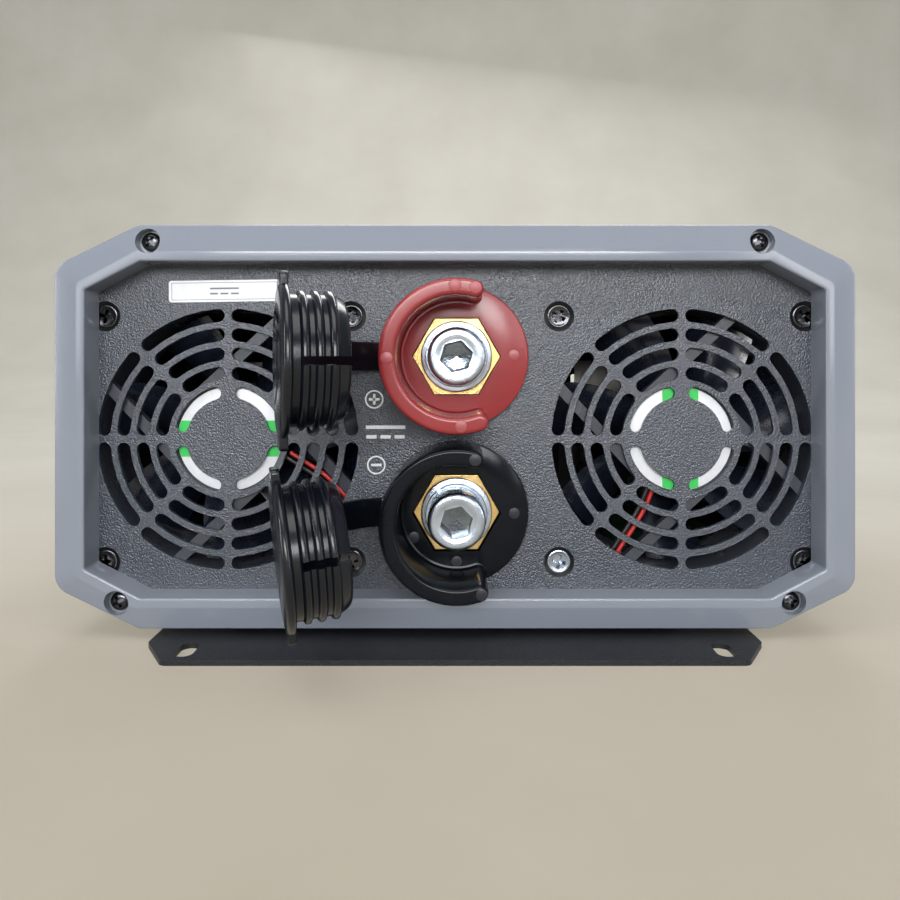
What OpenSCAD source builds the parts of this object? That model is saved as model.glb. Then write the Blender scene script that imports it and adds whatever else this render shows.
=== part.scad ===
// Power inverter in an aluminium case: DC end with two fans and two capped
// screw terminals, AC end with outlets. X runs across the case, Y from the DC
// end to the AC end, Z up. The origin lies on the underside of the front
// bracket, midway across, in the plane of the front bezel's face.

/* [Case] */
// Width across the end bezels
case_w = 225; // [223:1:250]
// Height of the end bezels
case_h = 113.4; // [113:0.2:130]
// Length over both end bezels
case_l = 370; // [350:1:420]
// Gap from the mounting plane to the underside of the bezels
stand_off = 3.2; // [2.6:0.1:6]
// Width of the sloped corners
corner_w = 23.6; // [21:0.2:26]
// Height of the sloped corners
corner_h = 11.5; // [10.5:0.1:12.5]
// Radius that rounds the bezel corners
corner_r = 6; // [4:0.5:8]
// Wall of the housing between its ribs
wall_t = 1.8; // [1.4:0.1:2]
// Height of the ribs on the housing
rib_h = 1; // [0.5:0.1:1.2]
// Distance from rib to rib
rib_pitch = 6.4; // [5:0.1:12]
// Width of the groove between two ribs
groove_w = 3.2; // [2:0.1:4]
// Height of the seam between the housing halves
seam_z = 62; // [56:1:70]

/* [Bezels] */
// Width of the rim beside the opening
rim_side = 9; // [8.5:0.1:9.5]
// Width of the rim above the opening
rim_top = 10.3; // [9.8:0.1:11]
// Width of the rim below the opening
rim_bottom = 8.9; // [8.6:0.1:9.4]
// Width of the sloped corners of the opening
opening_corner_w = 15.5; // [14:0.1:17]
// Height of the sloped corners of the opening
opening_corner_h = 8; // [7.5:0.1:8.5]
// Depth from the rim's face to the end panel
rim_d = 9.5; // [8:0.1:14]
// Depth of the whole bezel, with its skirt
bezel_d = 30; // [22:0.5:40]
// Wall of the skirt
skirt_t = 1.6; // [1.2:0.1:1.8]
// Gap between skirt and housing
skirt_gap = 0.2; // [0.1:0.05:0.4]
// Width of the bevel along the opening
bevel_w = 2.6; // [1:0.1:3]
// Depth of the bevel along the opening
bevel_d = 1.5; // [0.8:0.1:2.5]
// Bezel screws: distance from the bezel's end, upper pair
upper_screw_inset = 26.5; // [24.5:0.5:30.5]
// Bezel screws: distance below the bezel's top, upper pair
upper_screw_drop = 4.6; // [4.4:0.1:5]
// Bezel screws: distance from the bezel's end, lower pair
lower_screw_inset = 17.7; // [17.1:0.1:18.1]
// Bezel screws: height above the bezel's underside, lower pair
lower_screw_rise = 7.3; // [7.2:0.1:7.6]
// Diameter of the counterbores for the bezel screws
counterbore_w = 7; // [6.4:0.1:7.2]
// Depth of the counterbores for the bezel screws
counterbore_d = 4.2; // [3:0.1:6]

/* [Panels and fans] */
// Thickness of the end panels
sheet_t = 1.5; // [1:0.1:2]
// Half the width kept free for the terminals between the two fan frames
fan_apart = 26; // [25.4:0.1:28]
// Gap between a fan frame and the side wall of the housing
fan_gap = 1.9; // [1.4:0.1:4]
// Gap between a fan frame and the lower screw ports
fan_lift = 2.7; // [1.5:0.1:5]
// Distance of the fan centres below the middle of the opening
fan_drop = 3.6; // [-2:0.2:4]
// Depth of a fan frame
fan_d = 25; // [20:0.5:38]
// Distance of a fan's screws from the sides of its frame
fan_screw_inset = 4.25; // [4:0.05:5]
// Distance of the fan's air duct from the sides of its frame
duct_inset = 2; // [1.7:0.1:3]
// Gap between blade tips and duct
tip_gap = 0.7; // [0.4:0.1:2]
// Radius of the rotor hub
hub_r = 16; // [15:0.2:18]
// Number of blades
blades = 7; // [5:1:9]
// Radius of the fan shaft
shaft_r = 1.5; // [1:0.1:2]
// Radius of the solid disc in the middle of a grille
grille_hub_r = 12.1; // [10:0.1:12.5]
// Width of the metal rings between the grille slots
ring_w = 1.8; // [1.4:0.1:2.6]
// Width of the webs between slots
web_w = 1.8; // [1.4:0.1:3]

/* [Terminals] */
// Distance of the terminals from the middle
terminal_x = 0.4; // [-1:0.1:1]
// Gap between the two terminal bases
base_gap = 3.6; // [2:0.1:6]
// Gap between the negative base and the bezel's opening
base_low = 1.9; // [1:0.1:3]
// Gap between the positive base and the bezel's opening
base_high = 5.9; // [4:0.1:7]
// Wall of the collars
collar_t = 4.5; // [3.5:0.1:5]
// Height of the collars above the panel
collar_h = 23; // [20:0.5:28]
// Where the collar starts, in degrees from the cable side
collar_from = 74.6; // [60:0.2:90]
// Where the collar ends, in degrees from the cable side
collar_to = 289.5; // [260:0.5:300]
// Width across the flats of the brass posts, as a share of the base's radius
post_share = 1.053; // [0.98:0.001:1.08]
// Height of the posts above the panel
post_h = 1.5; // [1:0.1:2.5]
// Thread radius of the terminal bolts, as a share of the posts' width
bolt_share = 0.2271; // [0.18:0.0001:0.228]
// Head radius of the terminal bolts
head_r = 8; // [7:0.1:8.2]
// Head height of the terminal bolts
head_h = 10; // [8:0.1:11]
// Length of the bolts under the head
bolt_l = 20; // [18:0.5:21]

/* [Caps] */
// How much smaller than the bases the cap lids are
lid_inset = 2.4; // [1.9:0.1:3.2]
// Thickness of the lids at the edge
lid_t = 2.3; // [1.8:0.1:3]
// Reach of the plug's ridges past the inside of the collar
plug_over = 0.3; // [-0.2:0.1:0.6]
// Length of the plug
plug_l = 13; // [12:0.1:15]
// Gap between the plug's nose and the collar
nose_gap = 2.2; // [1.7:0.1:2.7]
// Depth of the nose in the collar's mouth with the cap closed
nose_in = 1.8; // [0.5:0.1:2]
// Swing from the open cap to the closed one
cap_swing = 74; // [60:0.5:90]
// Where the cap's strap bends, beside the middle of the case
strap_bend_x = -26.85; // [-29:0.05:-25.5]
// Where the cap's strap bends, above the panel
strap_bend_h = 13.6; // [12:0.1:15]
// Width of the straps
strap_w = 8.3; // [6:0.1:10]
// Thickness of the straps
strap_t = 1.8; // [1.2:0.1:2.2]

/* [Brackets] */
// Width of the mounting brackets
bracket_w = 168; // [160:1:180]
// Thickness of the brackets
bracket_t = 1.5; // [1:0.1:2]
// Reach of a bracket past the bezel
bracket_reach = 17; // [14:0.5:30]
// Distance between the slots across the case
slot_spacing = 143; // [130:1:150]
// Distance of the slots from the bezel's face
slot_reach = 9.6; // [7.5:0.1:11]
// Half the width of a mounting slot
mount_slot_r = 2.5; // [2:0.1:3.5]
// Length of a mounting slot
mount_slot_l = 10; // [8:0.5:12]
// Distance of the rails from the middle
rail_x = 62; // [40:1:70]
// Width of the rails
rail_w = 16; // [12:0.5:20]

/* [AC end] */
// Width of an outlet's face
outlet_w = 33.5; // [32:0.1:36]
// Distance from an outlet's face to its screws
outlet_margin = 7.9; // [7:0.1:9]
// Radius of the ground stud
stud_r = 3; // [2:0.1:4]
// Length of the ground stud outside the panel
stud_l = 15; // [13:0.5:18]
// Tilt of the rocker to either side
rocker_tilt = 12; // [6:1:14]
// Number of air slots in the AC panel
vents = 9; // [5:1:10]

/* [Inside] */
// Gap between the main board and the far end of the case
board_back = 42; // [40:0.5:47]
// Gap between the main board and the side walls of the housing
board_gap = 12.9; // [10.9:0.1:14.9]
// Thickness of the circuit boards
board_t = 1.6; // [1.2:0.1:2]
// Height of the standoffs under the main board
standoff_h = 6; // [5:0.5:8]

/* [Hidden] */
$fn = 48;

past = 1;                 // how far a cutter runs past a face
seat_gap = 0.05;          // gap of a piece that screws or slides into another
ease = 1;                 // bevel along the outer edge of a bezel's face
core_wall = 2.4;          // walls left where a bezel is cored from behind
core_floor = 3;           // face thickness left where a bezel is cored
boss_wall = 0.9;          // wall of a bezel's screw bosses round the counterbore
small_screw_r = 1.15;     // bezel screws
small_head_r = 2.7;
small_head_h = 1.9;
port_wall = 1.2;          // wall round the screw ports of the housing
housing_inset = skirt_t + skirt_gap;
inner_inset = housing_inset + rib_h + wall_t;
top_z = stand_off + case_h;
floor_z = stand_off + inner_inset;
inner_x = case_w / 2 - inner_inset;
opening_h = case_h - rim_top - rim_bottom;
opening_z = stand_off + rim_bottom + opening_h / 2;    // middle of the opening
upper_screw_x = case_w / 2 - upper_screw_inset;
lower_screw_x = case_w / 2 - lower_screw_inset;
housing_from = rim_d + sheet_t;
rail_from = bezel_d + 2;
lip_h = 4;                // the lower half's lip behind the seam
lip_t = 0.9;
lip_gap = 0.2;

screw_places = [[-upper_screw_x, top_z - upper_screw_drop], [upper_screw_x, top_z - upper_screw_drop],
    [-lower_screw_x, stand_off + lower_screw_rise], [lower_screw_x, stand_off + lower_screw_rise]];

// A fan frame fills the room between the terminals and the wall, above the lower screw ports
fan_z = opening_z - fan_drop;
port_top = stand_off + lower_screw_rise + small_screw_r + seat_gap + port_wall;
fan_size = min(inner_x - fan_gap - fan_apart, 2 * (fan_z - port_top - fan_lift));
fan_x = inner_x - fan_gap - fan_size / 2;
fan_pitch = fan_size - 2 * fan_screw_inset;
duct_r = fan_size / 2 - duct_inset;
fan_flange_t = 4;
fan_corner_r = 4.5;
duct_wall = 1.6;
strut_t = 3;              // depth of the struts and the motor seat
strut_w = 3.2;
strut_offset = hub_r - 0.2; // the struts run past the centre at this distance
strut_turn = 42.7;
seat_r = hub_r + 0.5;     // motor seat
seat_drop = 0.5;          // the seat lies this far behind the frame's face
label_r = hub_r - 0.8;
label_t = 0.2;
bearing_r = 3.5;
fan_screw_r = 1.9;
fan_screw_l = 10;
fan_hole_r = 2.3;
fan_head_r = 3.4;
dimple_r = 4.4;           // countersinks in the panel, wider than the screw heads
dimple_slope = (dimple_r - fan_hole_r + 0.1) / sheet_t;
fan_centres = [[-fan_x, fan_z], [fan_x, fan_z]];
rings = 4;                // rings of grille slots outside the hub ring
ring_slots = 8;
hub_slots = 4;
grille_r = duct_r;        // radius over the outermost slots
slot_pitch = (grille_r - grille_hub_r - 2 * ring_w + 0.1) / rings;
slot_w = slot_pitch - ring_w;

// The two terminal bases share the height of the opening
base_r = (opening_h - base_gap - base_low - base_high) / 4;
negative_z = opening_z - opening_h / 2 + base_low + base_r;
positive_z = negative_z + 2 * base_r + base_gap;
base_t = 3;               // disc of a terminal base, with the groove for the strap
neck_h = 1.6;
neck_r = 0.831 * base_r;
barrel_r = 0.725 * base_r;
barrel_l = 16;
post_gap = 0.2;
post_af = post_share * base_r;
bolt_r = bolt_share * post_af;
post_l = 19;
flange_r = barrel_r - 1;
bore_l = 18;
washer_r = 0.468 * post_af;
washer_t = 2;
spring_washer_r = washer_r - 1.4;
spring_washer_t = 2.5;
washer_hole_r = bolt_r + 0.35;
head_from = post_h + washer_t + spring_washer_t;
socket_af = 8;
nut_t = 4;
nut_r = base_r - 1.7;
lid_r = base_r - lid_inset;
plug_r = base_r - collar_t + plug_over;
nose_r = base_r - collar_t - nose_gap;

closed_h = collar_h + plug_l - nose_in;      // lid's inner face above the panel with the cap closed
cap_arm = [terminal_x - strap_bend_x, strap_bend_h - closed_h];
cap_centre = [strap_bend_x + cap_arm.x * cos(cap_swing) + cap_arm.y * sin(cap_swing),
    rim_d - strap_bend_h - cap_arm.x * sin(cap_swing) + cap_arm.y * cos(cap_swing)];
negative_cap_roll = -6;
positive_cap_drop = 1;    // how far the open caps hang below the terminals
negative_cap_drop = 1;
ridges = 3;
ridge_h = 0.9;
ridge_pitch = 3.2;
plug_wall = 2.6;
slit_w = 2;
tab_w = 8;

bar_t = 3;                // copper busbars
bar_gap = 0.8;
board_w = 2 * (inner_x - board_gap);
board_from = 48;
board_l = case_l - board_back - board_from;
board_z = floor_z + standoff_h;
deck_z = board_z + board_t;

// Plain maths
function unit(v) = v / norm(v);
function turned(p, a) = [p.x * cos(a) - p.y * sin(a), p.x * sin(a) + p.y * cos(a)];
function polar(r, a) = [r * cos(a), r * sin(a)];
function across_flats(af) = af / 2 / cos(30);

// Points of an arc that rounds the corner b between a and c
function corner_arc(a, b, c, r, n = 5) =
    let (u = unit(a - b), v = unit(c - b), half = acos(u * v) / 2,
        centre = b + unit(u + v) * r / sin(half),
        from = b + u * r / tan(half) - centre,
        turn = (cross(u, v) > 0 ? -1 : 1) * (180 - 2 * half))
    [for (i = [0:n]) centre + turned(from, turn * i / n)];

// A polygon with every corner rounded
function rounded(pts, r) = [for (i = [0:len(pts) - 1])
    each corner_arc(pts[(i + len(pts) - 1) % len(pts)], pts[i], pts[(i + 1) % len(pts)], r)];

function box_points(w, h) = [[-w / 2, -h / 2], [w / 2, -h / 2], [w / 2, h / 2], [-w / 2, h / 2]];

// Eight-sided outline with sloped corners
function octagon(w, z0, z1, cw, ch) = [[w - cw, z0], [w, z0 + ch], [w, z1 - ch], [w - cw, z1],
    [cw - w, z1], [-w, z1 - ch], [-w, z0 + ch], [cw - w, z0]];

// The case's outline with sharp corners, moved in by d on every side
function case_corners(d) =
    let (l = norm([corner_w, corner_h]), nx = corner_h / l, nz = corner_w / l)
    octagon(case_w / 2 - d, stand_off + d, top_z - d,
        corner_w - d + d * (1 - nz) / nx, corner_h - d + d * (1 - nx) / nz);

// The same with rounded corners
function case_outline(d) = rounded(case_corners(d), corner_r - d * 0.5);

// The bezel's opening, made larger by d on every side
function opening_corners(d) = octagon(case_w / 2 - rim_side + d, stand_off + rim_bottom - d,
    top_z - rim_top + d, opening_corner_w + d * 0.45, opening_corner_h + d * 0.3);
function opening(d) = rounded(opening_corners(d), 1.2 + d * 0.3);

// A curved slot with round ends, between two radii and two angles
function arc_slot(r0, r1, a0, a1) =
    let (m = (r0 + r1) / 2, e = (r1 - r0) / 2, cut = asin(e / m), b0 = a0 + cut, b1 = a1 - cut,
        n = ceil((b1 - b0) / 8))
    concat([for (i = [0:n]) polar(r1, b0 + (b1 - b0) * i / n)],
        [for (i = [1:5]) polar(m, b1) + polar(e, b1 + 30 * i)],
        [for (i = [0:n]) polar(r0, b1 + (b0 - b1) * i / n)],
        [for (i = [1:5]) polar(m, b0) + polar(e, b0 + 180 + 30 * i)]);

// Extrudes a profile drawn in X and Z backwards from the plane y = from
module slab(from, depth) {
    translate([0, from + depth, 0]) rotate([90, 0, 0]) linear_extrude(depth) children();
}

// The space inside planes that pass through the sides of a profile at depth y, and slope outwards
// towards the front by the angle "slope"
module sloped(points, y, slope) {
    reach = 2 * case_w;
    intersection_for(i = [0:len(points) - 1]) let (p = points[i], q = points[(i + 1) % len(points)])
        translate([p.x, y, p.y]) rotate([0, -atan2(q.y - p.y, q.x - p.x), 0]) rotate([slope, 0, 0])
            translate([-reach, -reach, 0]) cube(2 * reach);
}

// Stands a shape that rises in Z out of the DC panel, at (x, z)
module out_of_panel(x, z) {
    translate([x, rim_d, z]) rotate([90, 0, 0]) children();
}

// Turns a piece made for the DC end to the AC end
module at_ac_end() {
    translate([0, case_l, 0]) rotate([0, 0, 180]) children();
}

// A tube with eight sides along a path
module lead(path, r) {
    n = len(path);
    function along(i) = unit(path[min(i + 1, n - 1)] - path[max(i - 1, 0)]);
    function side(i) = unit(cross(along(i), [0.21, 0.13, 1]));
    points = [for (i = [0:n - 1]) for (k = [0:7])
        path[i] + r * (side(i) * cos(45 * k) + cross(along(i), side(i)) * sin(45 * k))];
    sides = [for (i = [0:n - 2]) for (k = [0:7]) let (m = (k + 1) % 8)
        each [[i * 8 + k, (i + 1) * 8 + m, i * 8 + m], [i * 8 + k, (i + 1) * 8 + k, (i + 1) * 8 + m]]];
    polyhedron(points, concat([[for (k = [0:7]) k]], sides, [[for (k = [7:-1:0]) (n - 1) * 8 + k]]));
}

// ---- Case ----

module bezel() {
    difference() {
        intersection() {
            union() {
                slab(0, rim_d) polygon(case_outline(0));
                slab(rim_d, bezel_d - rim_d) difference() {
                    polygon(case_outline(0));
                    polygon(case_outline(skirt_t));
                }
            }
            sloped(case_corners(0), ease, -45);
        }
        slab(-past, rim_d + 2 * past) polygon(opening(0));
        sloped(opening_corners(0), bevel_d, atan(bevel_w / bevel_d));
        slab(core_floor, rim_d - core_floor + 0.01) difference() {
            polygon(case_outline(core_wall));
            polygon(opening(core_wall));
            for (p = screw_places) translate(p) circle(counterbore_w / 2 + boss_wall);
        }
        for (p = screw_places) {
            slab(-past, past + counterbore_d) translate(p) circle(counterbore_w / 2);
            slab(0, rim_d + past) translate(p) circle(small_screw_r + 0.3);
        }
    }
}

// Four screws that hold a bezel and its panel to the housing
module bezel_screws() {
    for (p = screw_places) translate([p.x, counterbore_d, p.y]) rotate([90, 0, 0]) difference() {
        rotate_extrude() polygon([[0, counterbore_d - rim_d - 10], [small_screw_r, counterbore_d - rim_d - 10],
            [small_screw_r, 0], [small_head_r, 0], [small_head_r, small_head_h - 0.7],
            [small_head_r - 0.9, small_head_h], [0, small_head_h]]);
        cross_slot(1.5, 0.3, small_head_h - 1.2);
    }
}

module grille() {
    for (k = [0:rings - 1]) let (r1 = grille_r - k * slot_pitch, r0 = r1 - slot_w,
        half_web = asin(web_w / 2 / r0))
        for (i = [0:ring_slots - 1])
            polygon(arc_slot(r0, r1, 45 * i + half_web, 45 * (i + 1) - half_web));
    half_web = asin(web_w / grille_hub_r);
    for (i = [0:hub_slots - 1])
        polygon(arc_slot(grille_hub_r, grille_hub_r + slot_w - 0.2, 90 * i + half_web,
            90 * (i + 1) - half_web));
}

module dc_panel() {
    color([0.2, 0.2, 0.21]) difference() {
        slab(rim_d, sheet_t) difference() {
            polygon(case_outline(housing_inset));
            for (c = fan_centres) translate(c) grille();
            for (z = [positive_z, negative_z]) translate([terminal_x, z]) circle(barrel_r + 0.2);
            for (p = screw_places) translate(p) circle(small_screw_r + 0.3);
            for (c = fan_centres) for (i = [-1, 1]) for (j = [-1, 1])
                translate(c + [i, j] * fan_pitch / 2) circle(fan_hole_r - 0.1);
        }
        for (c = fan_centres) for (i = [-1, 1]) for (j = [-1, 1])
            out_of_panel(c.x + i * fan_pitch / 2, c.y + j * fan_pitch / 2)
                translate([0, 0, -sheet_t]) cylinder(r1 = fan_hole_r - 0.1, r2 = dimple_r, h = sheet_t + 0.001);
    }
}

// Places of the ribs' grooves from a first to a last position
function groove_places(from, to) =
    let (n = floor((to - from) / rib_pitch)) [for (i = [0:n]) (from + to) / 2 + (i - n / 2) * rib_pitch];

module housing_section() {
    difference() {
        union() {
            difference() {
                polygon(case_outline(housing_inset));
                polygon(case_outline(inner_inset));
            }
            intersection() {
                polygon(case_outline(housing_inset));
                union() for (p = screw_places) translate(p) circle(small_screw_r + seat_gap + port_wall);
            }
        }
        for (p = screw_places) translate(p) circle(small_screw_r + seat_gap);
        for (x = groove_places(-upper_screw_x + 8, upper_screw_x - 8))
            translate([x - groove_w / 2, top_z - housing_inset - rib_h]) square([groove_w, 2 * rib_h]);
        for (s = [-1, 1]) for (z = groove_places(stand_off + corner_h + 8, top_z - corner_h - 8))
            translate([s * (case_w / 2 - housing_inset) - rib_h, z - groove_w / 2])
                square([2 * rib_h, groove_w]);
    }
}

module upper_housing() {
    color([0.12, 0.12, 0.13]) slab(housing_from, case_l - 2 * housing_from) intersection() {
        housing_section();
        translate([-case_w, seam_z]) square([2 * case_w, case_h]);
    }
}

module lower_housing() {
    color([0.12, 0.12, 0.13]) difference() {
        union() {
            slab(housing_from, case_l - 2 * housing_from) union() {
                intersection() {
                    housing_section();
                    translate([-case_w, seam_z - case_h]) square([2 * case_w, case_h]);
                }
                for (s = [-1, 1]) {
                    translate([s * (inner_x + lip_gap - lip_t / 2) - lip_t / 2 - lip_gap, seam_z - 2 * lip_h])
                        square([lip_t + 2 * lip_gap, 2 * lip_h]);
                    translate([s * (inner_x - lip_gap - lip_t / 2) - lip_t / 2, seam_z - 0.5])
                        square([lip_t, lip_h + 0.5]);
                }
            }
            for (s = [-1, 1]) translate([s * rail_x - rail_w / 2, rail_from, bracket_t])
                cube([rail_w, case_l - 2 * rail_from, stand_off + inner_inset - wall_t / 2 - bracket_t]);
        }
        bracket_screw_places() translate([0, 0, -past])
            cylinder(r = bracket_screw_r + seat_gap, h = bracket_screw_l + past);
    }
}

// ---- Brackets ----

bracket_l = bracket_reach + rail_from + 22;
bracket_screw_r = 1.5;
bracket_screw_l = 5.5;
bracket_head_r = 2.9;
bracket_head_h = 1.2;

module bracket_screw_places() {
    for (end = [0, 1]) for (s = [-1, 1]) for (y = [7, 16])
        translate([s * rail_x, end == 0 ? rail_from + y : case_l - rail_from - y, 0]) children();
}

module bracket() {
    w = bracket_w / 2;
    difference() {
        linear_extrude(bracket_t) difference() {
            polygon(rounded([[8 - w, -bracket_reach], [w - 8, -bracket_reach], [w, 13 - bracket_reach],
                [w, bracket_l - bracket_reach - 6], [w - 6, bracket_l - bracket_reach],
                [6 - w, bracket_l - bracket_reach], [-w, bracket_l - bracket_reach - 6],
                [-w, 13 - bracket_reach]], 2.5));
            for (s = [-1, 1]) translate([s * slot_spacing / 2, -slot_reach]) mounting_slot();
        }
        bracket_screw_places() {
            translate([0, 0, -past]) cylinder(r = bracket_screw_r + 0.15, h = bracket_t + 2 * past);
            translate([0, 0, -0.001])
                cylinder(r1 = bracket_head_r + 0.1, r2 = bracket_screw_r + 0.1, h = bracket_head_h);
        }
    }
}

module mounting_slot() {
    run = mount_slot_l / 2 - mount_slot_r;
    for (s = [-1, 1]) translate([0, s * run]) circle(mount_slot_r);
    translate([-mount_slot_r, -run]) square([2 * mount_slot_r, 2 * run]);
}

module bracket_screws() {
    color([0.1, 0.1, 0.1]) bracket_screw_places() difference() {
        rotate_extrude() polygon([[0, 0.05], [bracket_head_r, 0.05], [bracket_screw_r, bracket_head_h],
            [bracket_screw_r, bracket_screw_l], [0, bracket_screw_l]]);
        for (a = [0, 90]) rotate([0, 0, a]) translate([-1.4, -0.3, -past]) cube([2.8, 0.6, 1 + past]);
    }
}

// ---- Label ----

label_w = 32.4;
label_h = 6.3;
label_middle = [45.5 - case_w / 2, top_z - 17.9];

module voltage_label() {
    color([0.9, 0.9, 0.88]) out_of_panel(label_middle.x, label_middle.y) rotate([0, 0, -0.8])
        linear_extrude(0.15) polygon(rounded(box_points(label_w, label_h), 0.8));
}

// ---- Fans; local Z runs from the back of the frame to its face ----

module fan_place(c) {
    out_of_panel(c.x, c.y) translate([0, 0, -sheet_t - fan_d]) children();
}

seat_top = fan_d - seat_drop;
seat_bottom = seat_top - strut_t;

// notch_turn is the direction in which the leads leave the frame
module fan_frame(notch_turn) {
    difference() {
        union() {
            for (z = [0, fan_d - fan_flange_t]) translate([0, 0, z]) linear_extrude(fan_flange_t)
                polygon(rounded(box_points(fan_size, fan_size), fan_corner_r));
            cylinder(r = duct_r + duct_wall, h = fan_d, $fn = 96);
        }
        translate([0, 0, -past]) cylinder(r = duct_r, h = fan_d + 2 * past, $fn = 96);
        for (i = [-1, 1]) for (j = [-1, 1]) translate([i * fan_pitch / 2, j * fan_pitch / 2, -past])
            cylinder(r = fan_hole_r, h = fan_d + 2 * past);
        rotate([0, 0, notch_turn]) translate([duct_r - 3, -2.4, fan_d - 4.6]) cube([20, 4.8, 5]);
    }
    difference() {
        union() {
            translate([0, 0, seat_bottom]) linear_extrude(strut_t) {
                circle(seat_r);
                for (a = [0:90:270]) rotate(strut_turn + a) translate([-2, strut_offset - strut_w / 2])
                    square([sqrt(pow(duct_r + duct_wall / 2, 2) - strut_offset * strut_offset) + 2, strut_w]);
            }
            translate([0, 0, 5]) cylinder(r = bearing_r, h = seat_bottom - 4);
        }
        translate([0, 0, 5 - past]) cylinder(r = shaft_r + seat_gap, h = seat_bottom - 5 + past);
    }
}

blade_chord = [[-0.5, 0.25], [-0.25, 0.6], [0, 0.7], [0.25, 0.55], [0.5, 0.2]];
blade_pitch = 40;
blade_bow = 1.5;
blade_lead = 3;           // the blades are set off from the radius, so they look swept

// Section of a blade across the fan, from a height and with a rise
function blade_section(from, rise) =
    [for (side = [-1, 1]) for (k = [0:4]) let (c = blade_chord[side < 0 ? k : 4 - k],
        out = side * c.y + blade_bow * (1 - 4 * c.x * c.x))
        [blade_lead - rise / tan(blade_pitch) * c.x + out * sin(blade_pitch),
            from + rise * (0.5 + c.x) + out * cos(blade_pitch)]];

module impeller() {
    top = seat_bottom - 0.6;
    for (i = [0:blades - 1]) rotate([0, 0, 360 / blades * i]) difference() {
        intersection() {
            translate([hub_r / 2, 0, 0]) rotate([90, 0, 90]) linear_extrude(duct_r)
                polygon(blade_section(3.2, top - 5.2));
            cylinder(r = duct_r - tip_gap, h = fan_d);
        }
        translate([0, 0, -past]) cylinder(r = hub_r - 0.8, h = fan_d + 2 * past);
    }
    rotate_extrude() polygon([[0, 1.5], [hub_r, 1.5], [hub_r, top], [hub_r - 1.6, top], [hub_r - 1.6, 3],
        [shaft_r, 3], [shaft_r, top], [0, top]]);
}

module fan_label() {
    translate([0, 0, seat_top]) cylinder(r = label_r, h = label_t);
}

module fan_screws() {
    head_drop = (dimple_r - fan_head_r) / dimple_slope - 0.03;
    cone_h = (fan_head_r - fan_screw_r) / dimple_slope;
    color([0.25, 0.25, 0.26]) for (c = fan_centres) for (i = [-1, 1]) for (j = [-1, 1])
        out_of_panel(c.x + i * fan_pitch / 2, c.y + j * fan_pitch / 2) difference() {
            rotate_extrude() polygon([[0, -sheet_t - fan_screw_l], [fan_screw_r, -sheet_t - fan_screw_l],
                [fan_screw_r, -head_drop - cone_h], [fan_head_r, -head_drop],
                [fan_head_r - 0.5, 0.35 - head_drop], [0, 0.35 - head_drop]]);
            cross_slot(1.9, 0.4, -head_drop - 0.6);
        }
}

// A cross recess cut down to the height z
module cross_slot(reach, half, z) {
    translate([0, 0, z]) linear_extrude(5) for (a = [0, 90]) rotate(a)
        square([2 * reach, 2 * half], center = true);
}

lead_r = 0.7;
// Routes of the leads in the fan's own frame, then down to the main board; chosen by hand,
// for a duct of the radius lead_duct_r, and moved in or out with a smaller or larger one
lead_duct_r = 38;
lead_start_r = 17.5;
left_lead_route = [[16.8, -4.9, 23], [22.6, -8.6, 22.8], [27.5, -12, 22.8], [32, -16.5, 22.8],
    [34.8, -19.8, 22.6], [38.6, -22.4, 21.8], [42.4, -24.4, 18], [43.4, -26, 8], [43, -30, -4],
    [42, -34.5, -14], [40, -36.8, -18]];
right_lead_route = [[-8.6, -15.1, 23], [-10.6, -20, 22.8], [-13.4, -25, 22.8], [-17.6, -31.4, 22.8],
    [-20.4, -36, 22.2], [-21.8, -39.6, 19], [-22, -42.6, 14], [-22, -43.2, 4], [-21, -39.8, -8],
    [-20, -37, -15], [-20, -35.8, -19]];

function fitted(p) =
    let (r = norm([p.x, p.y]), share = min(1, (r - lead_start_r) / (lead_duct_r - lead_start_r)),
        k = 1 + (duct_r - lead_duct_r) * share / r)
    [p.x * k, p.y * k, p.z];

module fan_leads(route, apart) {
    for (s = [-1, 1]) lead([for (p = route) fitted(p) + s * apart], lead_r);
}

// ---- Terminals; local Z is the height above the panel ----

module terminal_base() {
    difference() {
        union() {
            cylinder(r = neck_r, h = neck_h + 0.1);
            translate([0, 0, neck_h]) cylinder(r = base_r, h = base_t - neck_h);
            translate([0, 0, -barrel_l]) cylinder(r = barrel_r, h = barrel_l + 1);
            rotate_extrude(angle = collar_to - collar_from, start = collar_from)
                translate([base_r - collar_t, base_t - 0.5]) square([collar_t, collar_h - base_t + 0.5]);
            for (a = [collar_from, collar_to]) rotate([0, 0, a])
                translate([base_r - collar_t / 2, 0, base_t - 0.5])
                    cylinder(r = collar_t / 2 - 0.05, h = collar_h - base_t + 0.5);
        }
        translate([0, 0, -barrel_l - past])
            cylinder(r = across_flats(post_af + 2 * post_gap), h = barrel_l + base_t + 2 * past, $fn = 6);
    }
}

module terminal_nuts() {
    color([0.15, 0.15, 0.16]) for (z = [positive_z, negative_z]) out_of_panel(terminal_x, z)
        translate([0, 0, -sheet_t - nut_t]) difference() {
            cylinder(r = nut_r, h = nut_t, $fn = 8);
            translate([0, 0, -past]) cylinder(r = barrel_r + seat_gap, h = nut_t + 2 * past);
        }
}

module terminal_post() {
    difference() {
        union() {
            translate([0, 0, -post_l + 0.5])
                cylinder(r = across_flats(post_af), h = post_l + post_h - 0.5, $fn = 6);
            translate([0, 0, -post_l]) cylinder(r = flange_r, h = post_l - barrel_l);
        }
        translate([0, 0, post_h - bore_l]) cylinder(r = bolt_r + seat_gap, h = bore_l + past);
    }
}

module flat_washer() {
    translate([0, 0, post_h]) ring(washer_hole_r, washer_r, washer_t);
}

module spring_washer() {
    rotate([0, 0, 132]) rotate_extrude(angle = 348) translate([washer_hole_r, post_h + washer_t])
        square([spring_washer_r - washer_hole_r, spring_washer_t]);
}

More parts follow.
